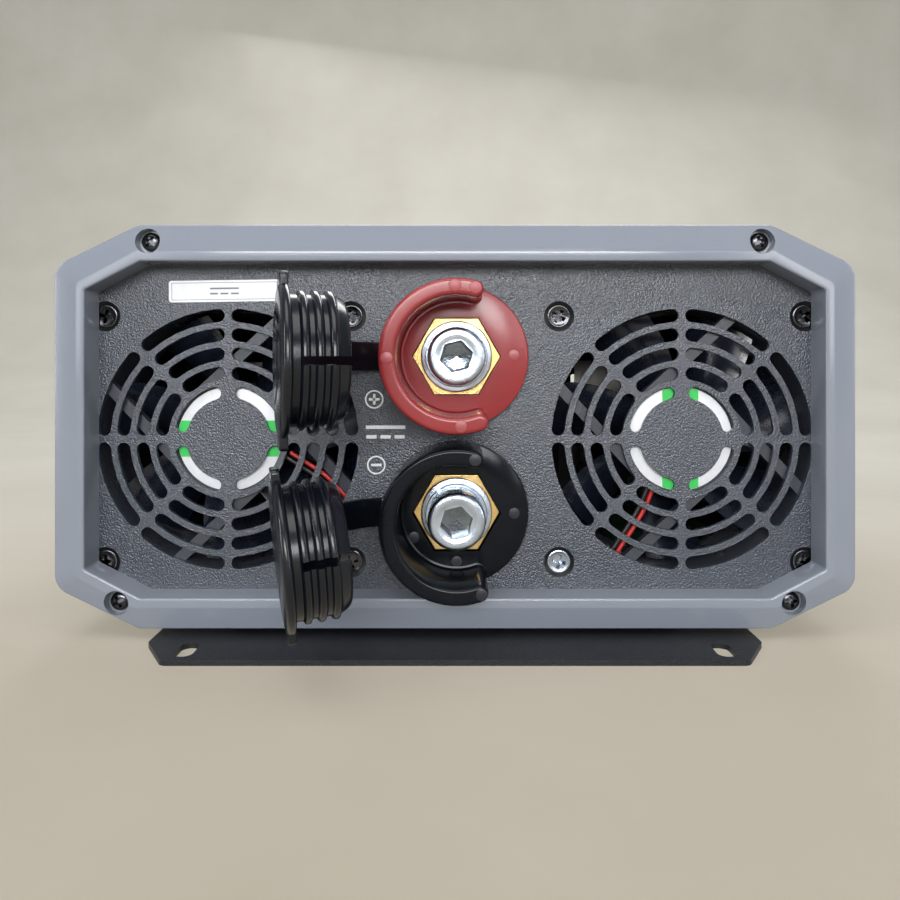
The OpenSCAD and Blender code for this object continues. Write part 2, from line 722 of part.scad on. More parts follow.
module ring(r0, r1, h) {
    difference() {
        cylinder(r = r1, h = h);
        translate([0, 0, -past]) cylinder(r = r0, h = h + 2 * past);
    }
}

module terminal_bolt() {
    bevel = 0.8;
    difference() {
        union() {
            translate([0, 0, head_from - bolt_l]) cylinder(r = bolt_r, h = bolt_l + 1);
            translate([0, 0, head_from]) cylinder(r = head_r, h = head_h - bevel);
            translate([0, 0, head_from + head_h - bevel]) cylinder(r1 = head_r, r2 = head_r - bevel, h = bevel);
        }
        translate([0, 0, head_from + head_h - 5]) cylinder(r = across_flats(socket_af), h = 5 + past, $fn = 6);
    }
}

// ---- Caps; local Z is the way out of the lid, the plug hangs below ----

module cap(tab_reach, nub_reach) {
    valley = plug_r - ridge_h;
    bore_r = plug_r - plug_wall - ridge_h;
    difference() {
        union() {
            rotate_extrude($fn = 72) polygon(concat(
                [[0, 0], [bore_r, 0], [bore_r, 4 - plug_l], [nose_r - 1.8, -plug_l], [nose_r, -plug_l]],
                [for (i = [ridges - 1:-1:0]) let (z = -2 - i * ridge_pitch)
                    each [[plug_r, z - 1.5], [plug_r, z - 0.3], [valley, z + 0.2]]],
                [[valley, 0], [lid_r, 0], [lid_r, lid_t - 0.6], [lid_r - 0.7, lid_t],
                    [lid_r * 0.6, lid_t + 0.5], [0, lid_t + 0.7]]));
            for (reach = [-tab_reach, nub_reach]) tab(reach);
        }
        for (s = [0, 180]) rotate([0, 0, s]) translate([bore_r - 1, -slit_w / 2, -plug_l - past])
            cube([plug_r, slit_w, plug_l - 2 + past]);
    }
}

module tab(reach) {
    way = sign(reach);
    linear_extrude(lid_t - 0.2)
        polygon(rounded([for (p = [[-tab_w / 2, 12], [tab_w / 2, 12], [tab_w / 2, abs(reach)],
            [-tab_w / 2, abs(reach)]]) [way * p.x, way * p.y]], 1));
}

module cap_place(z, roll) {
    translate([cap_centre.x, cap_centre.y, z]) rotate([0, roll, 0]) rotate([90, 0, -cap_swing]) children();
}

// Centre line of a strap from its ring to the lid's edge, in X and Y
lid_edge = cap_centre + turned([0, lid_r - 0.6], 90 - cap_swing) - lid_t / 2 * polar(1, 90 - cap_swing);
strap_lift = strap_t / 2 + 0.1;
strap_line = [[terminal_x - base_r - 0.1, rim_d - strap_lift],
    [terminal_x - base_r - 1.5, rim_d - strap_lift - 0.05],
    [strap_bend_x + 1.85, rim_d - 2.4], [strap_bend_x - 1.75, rim_d - 5.2], [strap_bend_x - 6.15, rim_d - 10.4],
    [strap_bend_x - 11.1, rim_d - 17.6], (lid_edge + [strap_bend_x - 11.1, rim_d - 17.6]) / 2 + [-0.4, 0.4],
    lid_edge];

// The strap runs a little into the lid, and is cut back from its edge
function strap_side(s) = [for (i = [0:len(strap_line) - 1])
    let (d = unit(strap_line[min(i + 1, len(strap_line) - 1)] - strap_line[max(i - 1, 0)]))
    strap_line[i] + s * strap_t / 2 * [-d.y, d.x]];

module strap(z, drop, roll) {
    out_of_panel(terminal_x, z) translate([0, 0, 0.05]) linear_extrude(neck_h - 0.1) difference() {
        union() {
            circle(base_r - 0.2);
            translate([-base_r - 1.3, -strap_w / 2]) square([base_r - neck_r + 1, strap_w]);
        }
        circle(neck_r + seat_gap);
    }
    near = strap_side(1);
    far = strap_side(-1);
    difference() {
        translate([0, 0, z - strap_w / 2]) linear_extrude(strap_w)
            polygon(concat(near, [for (i = [len(far) - 1:-1:0]) far[i]]));
        cap_place(z - drop, roll) translate([0, 0, -2]) cylinder(r = lid_r + seat_gap, h = lid_t + 4);
    }
}

// ---- Inside ----

function post_back() = rim_d + post_l;

module positive_busbar() {
    x0 = flange_r + terminal_x + bar_gap;
    bar_w = fan_apart - bar_gap - x0;
    color([0.75, 0.42, 0.25]) union() {
        slab(post_back(), bar_t) polygon([[terminal_x - 10, positive_z - 10], [x0, positive_z - 10],
            [x0, deck_z], [x0 + bar_w, deck_z], [x0 + bar_w, positive_z + 10],
            [terminal_x - 10, positive_z + 10]]);
        translate([x0, post_back(), deck_z]) cube([bar_w, board_from + 16 - post_back(), bar_t]);
    }
}

module negative_busbar() {
    color([0.75, 0.42, 0.25]) union() {
        slab(post_back(), bar_t) translate([terminal_x - 11, deck_z]) square([22, negative_z + 10 - deck_z]);
        translate([terminal_x - 11, post_back(), deck_z]) cube([22, board_from + 16 - post_back(), bar_t]);
    }
}

mount_x = case_w / 2 - corner_w - 6.5;      // the standoffs stand on the flat of the floor
mount_places = [for (x = [-mount_x, 0, mount_x]) for (y = [board_from + 20, board_from + board_l - 8]) [x, y]];
mount_r = 3;
mount_screw_r = 1.5;
mount_head_r = 2.8;
mount_head_h = 2;
input_can_r = 8;          // input capacitors, in two rows near the DC end
input_can_h = 32;
input_can_pitch = 19;
input_row_pitch = 20;
input_can_inset = 23;
input_can_y = board_from + 34;
store_can_r = 15;         // high voltage capacitors, in a row across the board
store_can_h = 45;
store_can_pitch = (board_w - 46) / 4;
store_can_y = board_from + 0.6786 * board_l;
sleeve_t = 0.6;           // the groove round a can's foot is this deep
core_w = 50;              // transformers: core, its legs and yokes, then the winding
core_d = 28;
core_h = 46;
core_leg = 10;
core_yoke = 8;
winding_w = 32;
winding_d = 44;
winding_r = 6;
transformer_x = 32;
transformer_y = board_from + 0.4107 * board_l;
sink_from = board_from + 60;
sink_l = board_l - 90;
sink_h = 62;
sink_t = 4;
sink_inset = 15;          // heat sink's plate from the board's edge
fins = 8;
fin_l = 12;
fin_t = 2.2;
fin_pitch = 8.4;
device_w = 16;            // transistors, in a row along each heat sink
device_t = 5;
device_h = 21;
device_lift = 4;
devices = 8;
device_pitch = (sink_l - 14) / devices;
leg_w = 1.2;
leg_t = 0.8;
leg_pitch = 5.4;
choke_y = board_from + 0.8571 * board_l;
choke_ring_r = 17;
choke_coil_r = 9;
choke_foot_r = 12;
choke_foot_h = 2;
control_w = 100;          // control board, upright across the case
control_h = 52;
control_y = board_from + 0.5536 * board_l;
chip = [16, 3, 12];

module main_board() {
    color([0.1, 0.35, 0.2]) translate([0, 0, board_z]) linear_extrude(board_t) difference() {
        translate([-board_w / 2, board_from]) square([board_w, board_l]);
        for (p = mount_places) translate(p) circle(mount_screw_r + 0.2);
    }
}

module board_mounts() {
    color([0.6, 0.6, 0.55]) for (p = mount_places) translate([p.x, p.y, floor_z]) {
        cylinder(r = mount_r, h = standoff_h, $fn = 6);
        translate([0, 0, standoff_h - 1]) cylinder(r = mount_screw_r, h = board_t + mount_head_h);
        translate([0, 0, standoff_h + board_t]) cylinder(r = mount_head_r, h = mount_head_h);
    }
}

module capacitor(x, y, r, h) {
    translate([x, y, deck_z]) difference() {
        union() {
            cylinder(r = r, h = h - 1);
            cylinder(r = r - 1, h = h);
        }
        translate([0, 0, 3]) ring(r - sleeve_t, r + 1, 1);
    }
}

module input_capacitors() {
    color([0.15, 0.2, 0.5]) for (i = [0:4]) for (j = [0, 1])
        capacitor(input_can_inset - board_w / 2 + i * input_can_pitch, input_can_y + j * input_row_pitch,
            input_can_r, input_can_h);
}

module high_voltage_capacitors() {
    color([0.1, 0.1, 0.15]) for (i = [-1.5:1.5])
        capacitor(i * store_can_pitch, store_can_y, store_can_r, store_can_h);
}

module transformer(x) {
    translate([x, transformer_y, deck_z]) {
        for (s = [-1, 1]) translate([s * (core_w - core_leg + 1) / 2 - core_leg / 2, -core_d / 2, 0])
            cube([core_leg, core_d, core_h]);
        for (z = [0, core_h - core_yoke]) translate([-core_w / 2, -core_d / 2, z])
            cube([core_w, core_d, core_yoke]);
        translate([0, 0, core_yoke - 1]) linear_extrude(core_h - 2 * core_yoke + 2)
            polygon(rounded(box_points(winding_w, winding_d), winding_r));
    }
}

// side is 1 on the right and -1 on the left; the fins point to the housing's wall
module heat_sink(side) {
    plate_x = side * (board_w / 2 - sink_inset);
    slab(sink_from, sink_l) {
        translate([plate_x - sink_t / 2, deck_z]) square([sink_t, sink_h]);
        for (i = [0:fins - 1]) translate([plate_x + side * fin_l / 2 - fin_l / 2, deck_z + 1 + i * fin_pitch])
            square([fin_l, fin_t]);
    }
}

module transistors() {
    back = sink_t / 2 + device_t / 2;
    color([0.1, 0.1, 0.11]) for (side = [-1, 1]) for (i = [0:devices - 1])
        translate([side * (board_w / 2 - sink_inset - back), sink_from + 16 + i * device_pitch, deck_z]) {
            translate([-device_t / 2, -device_w / 2, device_lift]) cube([device_t, device_w, device_h]);
            for (k = [-1, 0, 1]) translate([-leg_t / 2, k * leg_pitch - leg_w / 2, 0])
                cube([leg_t, leg_w, device_lift + 0.5]);
        }
}

module output_choke() {
    color([0.7, 0.45, 0.2]) translate([0, choke_y, deck_z]) {
        translate([0, 0, choke_coil_r]) rotate_extrude() translate([choke_ring_r, 0]) circle(choke_coil_r);
        cylinder(r = choke_foot_r, h = choke_foot_h);
    }
}

module control_board() {
    color([0.1, 0.35, 0.2]) {
        translate([-control_w / 2, control_y, deck_z]) cube([control_w, board_t, control_h]);
        for (x = [-0.4, 0.12]) translate([x * control_w, control_y + board_t - 0.1, deck_z + chip.z]) cube(chip);
    }
}

// ---- AC end, drawn as the DC end is and turned round afterwards ----

spread = case_w / 225;    // the pieces on the panel keep their share of its width
outlet_places = [34 * spread, 76 * spread];
outlet_z = opening_z - 1.2;
outlet_stand = 2;
outlet_depth = 24;
yoke_pitch = opening_h - 10.9;
outlet_h = yoke_pitch - 2 * outlet_margin;
socket_rise = 0.289 * outlet_h;       // a socket's middle from the outlet's middle
switch_place = [-4 * spread, top_z - 36.6];
breaker_place = [-4 * spread, stand_off + 30.8];
lamp_places = [[-34 * spread, top_z - 26.6], [-48 * spread, top_z - 26.6]];
jack_place = [-72 * spread, top_z - 28.6];
stud_place = [-88 * spread, stand_off + 23.8];
vent_w = 3.6;
vent_h = 34;
vent_pitch = 7.6 * spread;
vent_middle = [-56 * spread, stand_off + 46.8];
rocker_w = 15;
rocker_half = 12.2;
rocker_pivot = 4;         // pivot's distance behind the switch's face
pin_r = 1.4;
switch_w = 21;
switch_h = 31;
switch_stand = 2;
button_r = 3.2;
button_travel = 2.4;
neck_wall = 1.6;

module ac_panel() {
    color([0.2, 0.2, 0.21]) at_ac_end() slab(rim_d, sheet_t) difference() {
        polygon(case_outline(housing_inset));
        for (p = screw_places) translate(p) circle(small_screw_r + 0.3);
        for (x = outlet_places) {
            translate([x, outlet_z]) polygon(rounded(box_points(outlet_w + 0.6, outlet_h + 0.6), 2));
            for (s = [-1, 1]) translate([x, outlet_z + s * yoke_pitch / 2]) circle(1.9);
        }
        translate(switch_place) square([switch_w - 2.4, switch_h - 2.4], center = true);
        translate(breaker_place) circle(button_r + neck_wall + 0.4);
        for (p = lamp_places) translate(p) circle(2.6);
        translate(jack_place) square([15.4, 13.4], center = true);
        translate(stud_place) circle(stud_r + 0.2);
        for (i = [0:vents - 1]) translate(vent_middle + [(i - (vents - 1) / 2) * vent_pitch, 0])
            polygon(rounded(box_points(vent_w, vent_h), vent_w / 2 - 0.01));
    }
}

module receptacle_cut() {
    for (s = [-1, 1]) translate([s * 6.35, 2]) square([s < 0 ? 2.4 : 1.9, s < 0 ? 8.6 : 7.2], center = true);
    translate([0, -7.6]) circle(2.5);
}

module outlet(x) {
    out_of_panel(x, outlet_z) {
        difference() {
            translate([0, 0, -outlet_depth]) linear_extrude(outlet_depth + outlet_stand)
                polygon(rounded(box_points(outlet_w, outlet_h), 2));
            for (s = [-1, 1]) translate([0, s * socket_rise, -14]) linear_extrude(20) receptacle_cut();
            translate([0, 0, outlet_stand - 0.8]) linear_extrude(2) difference() {
                square([outlet_w - 3, outlet_h - 3], center = true);
                for (s = [-1, 1]) translate([0, s * socket_rise])
                    polygon(rounded(box_points(outlet_w - 5.5, 0.4 * outlet_h), 5));
            }
        }
        difference() {
            translate([0, 0, -sheet_t - 1.5]) linear_extrude(1.5) difference() {
                polygon(rounded(box_points(26, yoke_pitch + 9), 3));
                square([outlet_w - 0.5, outlet_h - 0.5], center = true);
                for (s = [-1, 1]) translate([0, s * yoke_pitch / 2]) circle(1.6);
            }
        }
    }
}

module outlet_screws() {
    color([0.3, 0.3, 0.3]) at_ac_end() for (x = outlet_places) for (s = [-1, 1])
        out_of_panel(x, outlet_z + s * yoke_pitch / 2) difference() {
            rotate_extrude() polygon([[0, -9], [1.55, -9], [1.55, 0], [3.2, 0], [3.2, 1], [2, 1.9], [0, 1.9]]);
            cross_slot(1.7, 0.4, 1);
        }
}

module switch_housing() {
    cavity = [rocker_w + 0.8, 2 * rocker_half + 3];
    color([0.05, 0.05, 0.05]) at_ac_end() out_of_panel(switch_place.x, switch_place.y) difference() {
        union() {
            linear_extrude(switch_stand) polygon(rounded(box_points(switch_w, switch_h), 1.5));
            translate([0, 0, -20]) linear_extrude(20.5)
                square([switch_w - 2.6, switch_h - 2.6], center = true);
        }
        translate([0, 0, -10]) linear_extrude(14) square(cavity, center = true);
        rocker_axis() cylinder(r = pin_r + seat_gap, h = rocker_w + 3.6, center = true);
    }
}

module rocker_axis() {
    translate([0, 0, switch_stand - rocker_pivot]) rotate([0, 90, 0]) children();
}

// The upper half is pressed in at rest
module switch_rocker() {
    rise = rocker_half * tan(rocker_tilt);
    color([0.08, 0.08, 0.08]) at_ac_end() out_of_panel(switch_place.x, switch_place.y) union() {
        rocker_axis() cylinder(r = pin_r, h = rocker_w + 3, center = true);
        translate([0, 0, switch_stand - rocker_pivot]) rotate([-rocker_tilt, 0, 0]) rotate([90, 0, 90])
            translate([0, 0, -rocker_w / 2]) linear_extrude(rocker_w)
                polygon([[-rocker_half, 4 + rise], [-6, 4 + rise * 0.45], [0, 4], [6, 4 + rise * 0.45],
                    [rocker_half, 4 + rise], [rocker_half - 0.4, 1], [5, -4], [-5, -4], [0.4 - rocker_half, 1]]);
    }
}

module breaker_body() {
    color([0.08, 0.08, 0.08]) at_ac_end() out_of_panel(breaker_place.x, breaker_place.y) difference() {
        union() {
            cylinder(r = 7.2, h = 3, $fn = 6);
            translate([0, 0, -sheet_t - 4]) cylinder(r = button_r + neck_wall, h = 6 + sheet_t + 3);
            translate([-8, -16, -sheet_t - 24]) cube([16, 32, 24]);
        }
        translate([0, 0, -sheet_t - 6]) cylinder(r = button_r + 0.2, h = 20);
    }
}

module breaker_button() {
    color([0.6, 0.1, 0.08]) at_ac_end() out_of_panel(breaker_place.x, breaker_place.y) union() {
        translate([0, 0, button_travel + 0.6 - sheet_t - 6]) cylinder(r = button_r, h = 11 + sheet_t - 1);
        translate([0, 0, button_travel + 5.6 - 1]) cylinder(r1 = button_r, r2 = button_r - 0.6, h = 0.8);
    }
}

module indicator_lights() {
    color([0.2, 0.8, 0.3]) at_ac_end() for (p = lamp_places) out_of_panel(p.x, p.y) {
        translate([0, 0, -sheet_t - 6]) cylinder(r = 2.5, h = sheet_t + 6.5);
        cylinder(r = 3.6, h = 0.8);
        translate([0, 0, 0.3]) intersection() {
            sphere(r = 2.5);
            cylinder(r = 3, h = 3);
        }
    }
}

module remote_jack() {
    color([0.05, 0.05, 0.05]) at_ac_end() out_of_panel(jack_place.x, jack_place.y) difference() {
        union() {
            translate([-9, -8, 0]) cube([18, 16, 1.2]);
            translate([-7.5, -6.5, -16]) cube([15, 13, 16.5]);
        }
        translate([-5, -3.5, -12]) cube([10, 7, 14]);
        translate([-2, -5, -12]) cube([4, 3, 14]);
    }
}

stud_washer_t = 1.2;
stud_nut_t = 5;

module ground_stud() {
    color([0.75, 0.62, 0.3]) at_ac_end() out_of_panel(stud_place.x, stud_place.y) union() {
        translate([0, 0, -sheet_t - 4]) cylinder(r = across_flats(10), h = 4, $fn = 6);
        translate([0, 0, -sheet_t - 1]) cylinder(r = stud_r, h = stud_l + sheet_t + 1 - 0.6);
        translate([0, 0, stud_l - 0.6]) cylinder(r1 = stud_r, r2 = stud_r - 0.6, h = 0.6);
    }
}

module ground_washer() {
    color([0.75, 0.75, 0.75]) at_ac_end() out_of_panel(stud_place.x, stud_place.y)
        ring(stud_r + 0.08, 2.2 * stud_r, stud_washer_t);
}

module ground_nut() {
    color([0.75, 0.62, 0.3]) at_ac_end() out_of_panel(stud_place.x, stud_place.y)
        translate([0, 0, stud_washer_t]) difference() {
            cylinder(r = across_flats(3.33 * stud_r), h = stud_nut_t, $fn = 6);
            translate([0, 0, -past]) cylinder(r = stud_r + seat_gap, h = stud_nut_t + 2 * past);
        }
}

// ---- Pieces that come twice ----

module front_bezel() { color([0.53, 0.55, 0.6]) bezel(); }
module rear_bezel() { color([0.53, 0.55, 0.6]) at_ac_end() bezel(); }
module front_bracket() { color([0.08, 0.08, 0.09]) bracket(); }
module rear_bracket() { color([0.08, 0.08, 0.09]) at_ac_end() bracket(); }
module front_bezel_screws() { color([0.1, 0.1, 0.1]) bezel_screws(); }
module rear_bezel_screws() { color([0.1, 0.1, 0.1]) at_ac_end() bezel_screws(); }
module left_fan_frame() { color([0.25, 0.26, 0.28]) fan_place(fan_centres[0]) fan_frame(-29.8); }
module right_fan_frame() { color([0.25, 0.26, 0.28]) fan_place(fan_centres[1]) fan_frame(-119.6); }
module left_impeller() { color([0.1, 0.1, 0.12]) fan_place(fan_centres[0]) impeller(); }
module right_impeller() { color([0.1, 0.1, 0.12]) fan_place(fan_centres[1]) impeller(); }
module left_fan_label() { color([0.95, 0.95, 0.95]) fan_place(fan_centres[0]) fan_label(); }
module right_fan_label() { color([0.95, 0.95, 0.95]) fan_place(fan_centres[1]) fan_label(); }
module left_fan_leads() {
    color([0.7, 0.1, 0.1]) fan_place(fan_centres[0]) fan_leads(left_lead_route, [0.7, 0.7, 0.3]);
}
module right_fan_leads() {
    color([0.7, 0.1, 0.1]) fan_place(fan_centres[1]) fan_leads(right_lead_route, [0.75, -0.35, 0]);
}
module positive_base() { color([0.5, 0.05, 0.05]) out_of_panel(terminal_x, positive_z) terminal_base(); }
module negative_base() { color([0.06, 0.06, 0.06]) out_of_panel(terminal_x, negative_z) terminal_base(); }
module positive_post() { color([0.75, 0.6, 0.3]) out_of_panel(terminal_x, positive_z) terminal_post(); }
module negative_post() { color([0.75, 0.6, 0.3]) out_of_panel(terminal_x, negative_z) terminal_post(); }
module positive_flat_washer() { color([0.75, 0.75, 0.75]) out_of_panel(terminal_x, positive_z) flat_washer(); }
module negative_flat_washer() { color([0.75, 0.75, 0.75]) out_of_panel(terminal_x, negative_z) flat_washer(); }
module positive_spring_washer() { color([0.7, 0.7, 0.7]) out_of_panel(terminal_x, positive_z) spring_washer(); }
module negative_spring_washer() { color([0.7, 0.7, 0.7]) out_of_panel(terminal_x, negative_z) spring_washer(); }
module positive_bolt() { color([0.8, 0.8, 0.8]) out_of_panel(terminal_x, positive_z) terminal_bolt(); }
module negative_bolt() { color([0.8, 0.8, 0.8]) out_of_panel(terminal_x, negative_z) terminal_bolt(); }
module positive_cap() {
    color([0.07, 0.07, 0.07]) cap_place(positive_z - positive_cap_drop, 0) cap(lid_r + 2.6, lid_r + 2.3);
}
module negative_cap() {
    color([0.07, 0.07, 0.07]) cap_place(negative_z - negative_cap_drop, negative_cap_roll)
        cap(lid_r + 2, lid_r + 1.9);
}
module positive_strap() { color([0.07, 0.07, 0.07]) strap(positive_z, positive_cap_drop, 0); }
module negative_strap() { color([0.07, 0.07, 0.07]) strap(negative_z, negative_cap_drop, negative_cap_roll); }
module left_transformer() { color([0.2, 0.2, 0.2]) transformer(-transformer_x); }
module right_transformer() { color([0.2, 0.2, 0.2]) transformer(transformer_x); }
module left_heat_sink() { color([0.6, 0.6, 0.62]) heat_sink(-1); }
module right_heat_sink() { color([0.6, 0.6, 0.62]) heat_sink(1); }
module left_outlet() { color([0.1, 0.1, 0.1]) at_ac_end() outlet(outlet_places[0]); }
module right_outlet() { color([0.1, 0.1, 0.1]) at_ac_end() outlet(outlet_places[1]); }

front_bezel();
rear_bezel();
dc_panel();
ac_panel();
upper_housing();
lower_housing();
front_bracket();
rear_bracket();
front_bezel_screws();
rear_bezel_screws();
bracket_screws();
fan_screws();
left_fan_frame();
right_fan_frame();
left_impeller();
right_impeller();
left_fan_label();
right_fan_label();
left_fan_leads();
right_fan_leads();
positive_base();
negative_base();
terminal_nuts();
positive_post();
negative_post();
positive_flat_washer();
negative_flat_washer();
positive_spring_washer();
negative_spring_washer();
positive_bolt();
negative_bolt();
positive_cap();
negative_cap();
positive_strap();
negative_strap();
positive_busbar();
negative_busbar();
main_board();
board_mounts();
input_capacitors();
high_voltage_capacitors();
left_transformer();
right_transformer();
left_heat_sink();
right_heat_sink();
transistors();
output_choke();
control_board();
left_outlet();
right_outlet();
outlet_screws();
switch_housing();
switch_rocker();
breaker_body();
breaker_button();
indicator_lights();
remote_jack();
ground_stud();
ground_washer();
ground_nut();
voltage_label();
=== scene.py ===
# Power inverter: camera, light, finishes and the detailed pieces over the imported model.
# X runs across the case, Y from the DC end to the AC end, Z up. Sizes are in millimetres, and those of
# the lamps and the floor in metres.
import math
import random
import bpy
import bmesh
from mathutils import Matrix, Vector
from mathutils.bvhtree import BVHTree


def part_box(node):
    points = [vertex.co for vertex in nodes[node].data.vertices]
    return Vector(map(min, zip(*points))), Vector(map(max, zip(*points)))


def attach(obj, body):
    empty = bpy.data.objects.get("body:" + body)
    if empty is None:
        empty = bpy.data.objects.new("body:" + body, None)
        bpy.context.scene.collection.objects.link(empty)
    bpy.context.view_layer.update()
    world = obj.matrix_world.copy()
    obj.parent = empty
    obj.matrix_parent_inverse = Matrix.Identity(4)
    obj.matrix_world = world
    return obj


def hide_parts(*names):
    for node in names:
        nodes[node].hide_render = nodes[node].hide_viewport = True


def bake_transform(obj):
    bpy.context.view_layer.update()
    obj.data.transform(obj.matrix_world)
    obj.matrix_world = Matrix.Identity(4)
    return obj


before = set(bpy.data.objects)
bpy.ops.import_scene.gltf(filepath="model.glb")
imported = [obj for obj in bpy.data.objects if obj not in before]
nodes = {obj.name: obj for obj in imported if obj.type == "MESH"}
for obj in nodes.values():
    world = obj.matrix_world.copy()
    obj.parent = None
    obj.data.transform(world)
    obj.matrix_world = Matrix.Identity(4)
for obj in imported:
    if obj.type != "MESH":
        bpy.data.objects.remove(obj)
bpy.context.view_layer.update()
dice = random.Random(7)
print("frame loaded:", len(nodes), "nodes")


def low(node, axis):
    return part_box(node)[0][axis] * 1000


def high(node, axis):
    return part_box(node)[1][axis] * 1000


def middle(node, axis):
    return (low(node, axis) + high(node, axis)) / 2


def spotOf(node):
    return (middle(node, 0), middle(node, 2))


panelFace = low("dc_panel", 1)          # front of the DC panel
acFace = high("ac_panel", 1)            # outer face of the AC panel
caseEnd = high("rear_bezel", 1)
fanSpots = {side: spotOf(side + "_fan_frame") for side in ("left", "right")}
terminalSpots = {side: spotOf(side + "_base") for side in ("positive", "negative")}

# Camera and lamps

view = {"distance": 230, "height": 79.5, "lens": 31.64, "sensor": 36, "shiftX": -0.0056, "shiftY": -0.1033}
camera = bpy.data.cameras.new("camera")
camera.lens = view["lens"]
camera.sensor_width = view["sensor"]
camera.shift_x = view["shiftX"]
camera.shift_y = view["shiftY"]
camera.clip_start = 0.01
cameraRig = bpy.data.objects.new("camera", camera)
cameraRig.location = (0, (panelFace - view["distance"]) / 1000, view["height"] / 1000)
cameraRig.rotation_euler = (math.pi / 2, 0, 0)
bpy.context.scene.collection.objects.link(cameraRig)
bpy.context.scene.camera = cameraRig
bpy.context.scene.view_settings.view_transform = "Standard"

lampTarget = Vector((0, 0.1, 0.06))
lamps = {
    "overhead": {"place": (-0.1, -0.42, 1.15), "size": (1.2, 0.8), "power": 9.5, "tint": (1, 0.99, 0.97)},
    "frontTop": {"place": (-0.03, -1.15, 0.40), "size": (0.78, 0.34), "power": 13, "tint": (1, 1, 1)},
    "frontLeft": {"place": (-0.9, -0.42, 0.24), "size": (0.09, 0.8), "power": 4, "tint": (0.97, 0.985, 1)},
    "frontRight": {"place": (0.9, -0.38, 0.28), "size": (0.12, 0.8), "power": 3.2, "tint": (0.98, 0.99, 1)},
    "nearLeft": {"place": (-0.58, -1.12, 0.36), "size": (0.16, 0.6), "power": 1.2, "tint": (0.96, 0.98, 1)},
    "nearRight": {"place": (0.58, -1.12, 0.36), "size": (0.16, 0.6), "power": 1.6, "tint": (1, 0.99, 0.98)},
    "behind": {"place": (0.15, 1.42, 1.12), "size": (1.4, 0.6), "power": 17, "tint": (1, 1, 1)},
}
for name, lamp in lamps.items():
    light = bpy.data.lights.new(name, "AREA")
    light.shape = "RECTANGLE"
    light.size, light.size_y = lamp["size"]
    light.energy = lamp["power"]
    light.color = lamp["tint"]
    rig = bpy.data.objects.new(name, light)
    rig.location = lamp["place"]
    rig.rotation_euler = (lampTarget - rig.location).to_track_quat("-Z", "Y").to_euler()
    bpy.context.scene.collection.objects.link(rig)
print("camera and lamps placed")

# Mesh helpers

mergeDistance = 0.000002                # metres


# These put a piece's own points in place. On the DC panel x and y go across it from a spot, and z out of it.
def frontPlace(spot, out=0.0):
    return lambda q: (spot[0] + q[0], panelFace - q[2] - out, spot[1] + q[1])


# The same at the other end, seen from behind.
def backPlace(spot, out=0.0):
    return lambda q: (-spot[0] - q[0], caseEnd - panelFace + q[2] + out, spot[1] + q[1])


def shifted(put, x, y, z=0):
    return lambda q: put((q[0] + x, q[1] + y, q[2] + z))


def polar(r, a):
    return (r * math.cos(a), r * math.sin(a))


def newMesh(name, points, faces):
    mesh = bpy.data.meshes.new(name)
    mesh.from_pydata([(x / 1000, y / 1000, z / 1000) for x, y, z in points], [], faces)
    piece = bpy.data.objects.new(name, mesh)
    bpy.context.scene.collection.objects.link(piece)
    tidyMesh(piece)
    return piece


def tidyMesh(piece):
    bm = bmesh.new()
    bm.from_mesh(piece.data)
    bmesh.ops.remove_doubles(bm, verts=bm.verts, dist=mergeDistance)
    bmesh.ops.recalc_face_normals(bm, faces=bm.faces)
    bm.to_mesh(piece.data)
    bm.free()


# Turns the piece's modifiers into plain mesh.
def applied(piece):
    bpy.context.view_layer.update()
    seen = piece.evaluated_get(bpy.context.evaluated_depsgraph_get())
    mesh = bpy.data.meshes.new_from_object(seen)
    piece.modifiers.clear()
    old = piece.data
    piece.data = mesh
    bpy.data.meshes.remove(old)
    return piece


def smooth(piece, angle):
    piece.data.polygons.foreach_set("use_smooth", [True] * len(piece.data.polygons))
    piece.data.set_sharp_from_angle(angle=math.radians(angle))
    return piece


# Rounds every sharp edge a little, so that it catches the light.
def eased(piece, width, steps=2):
    bm = bmesh.new()
    bm.from_mesh(piece.data)
    bmesh.ops.remove_doubles(bm, verts=bm.verts, dist=mergeDistance)
    bmesh.ops.dissolve_limit(bm, angle_limit=math.radians(0.5), verts=bm.verts, edges=bm.edges)
    bm.to_mesh(piece.data)
    bm.free()
    bevel = piece.modifiers.new("ease", "BEVEL")
    bevel.width = width / 1000
    bevel.segments = steps
    bevel.limit_method = "ANGLE"
    bevel.angle_limit = math.radians(32)
    bevel.use_clamp_overlap = True
    bevel.face_strength_mode = "FSTR_ALL"
    smooth(applied(piece), 50)
    even = piece.modifiers.new("even", "WEIGHTED_NORMAL")      # keeps the flats flat beside the rounded edges
    even.mode = "FACE_AREA"
    even.weight = 100
    even.keep_sharp = True
    even.use_face_influence = True
    return applied(piece)


def cut(piece, cutter):
    hole = piece.modifiers.new("cut", "BOOLEAN")
    hole.operation = "DIFFERENCE"
    hole.solver = "EXACT"
    hole.object = cutter
    applied(piece)
    bpy.data.objects.remove(cutter)


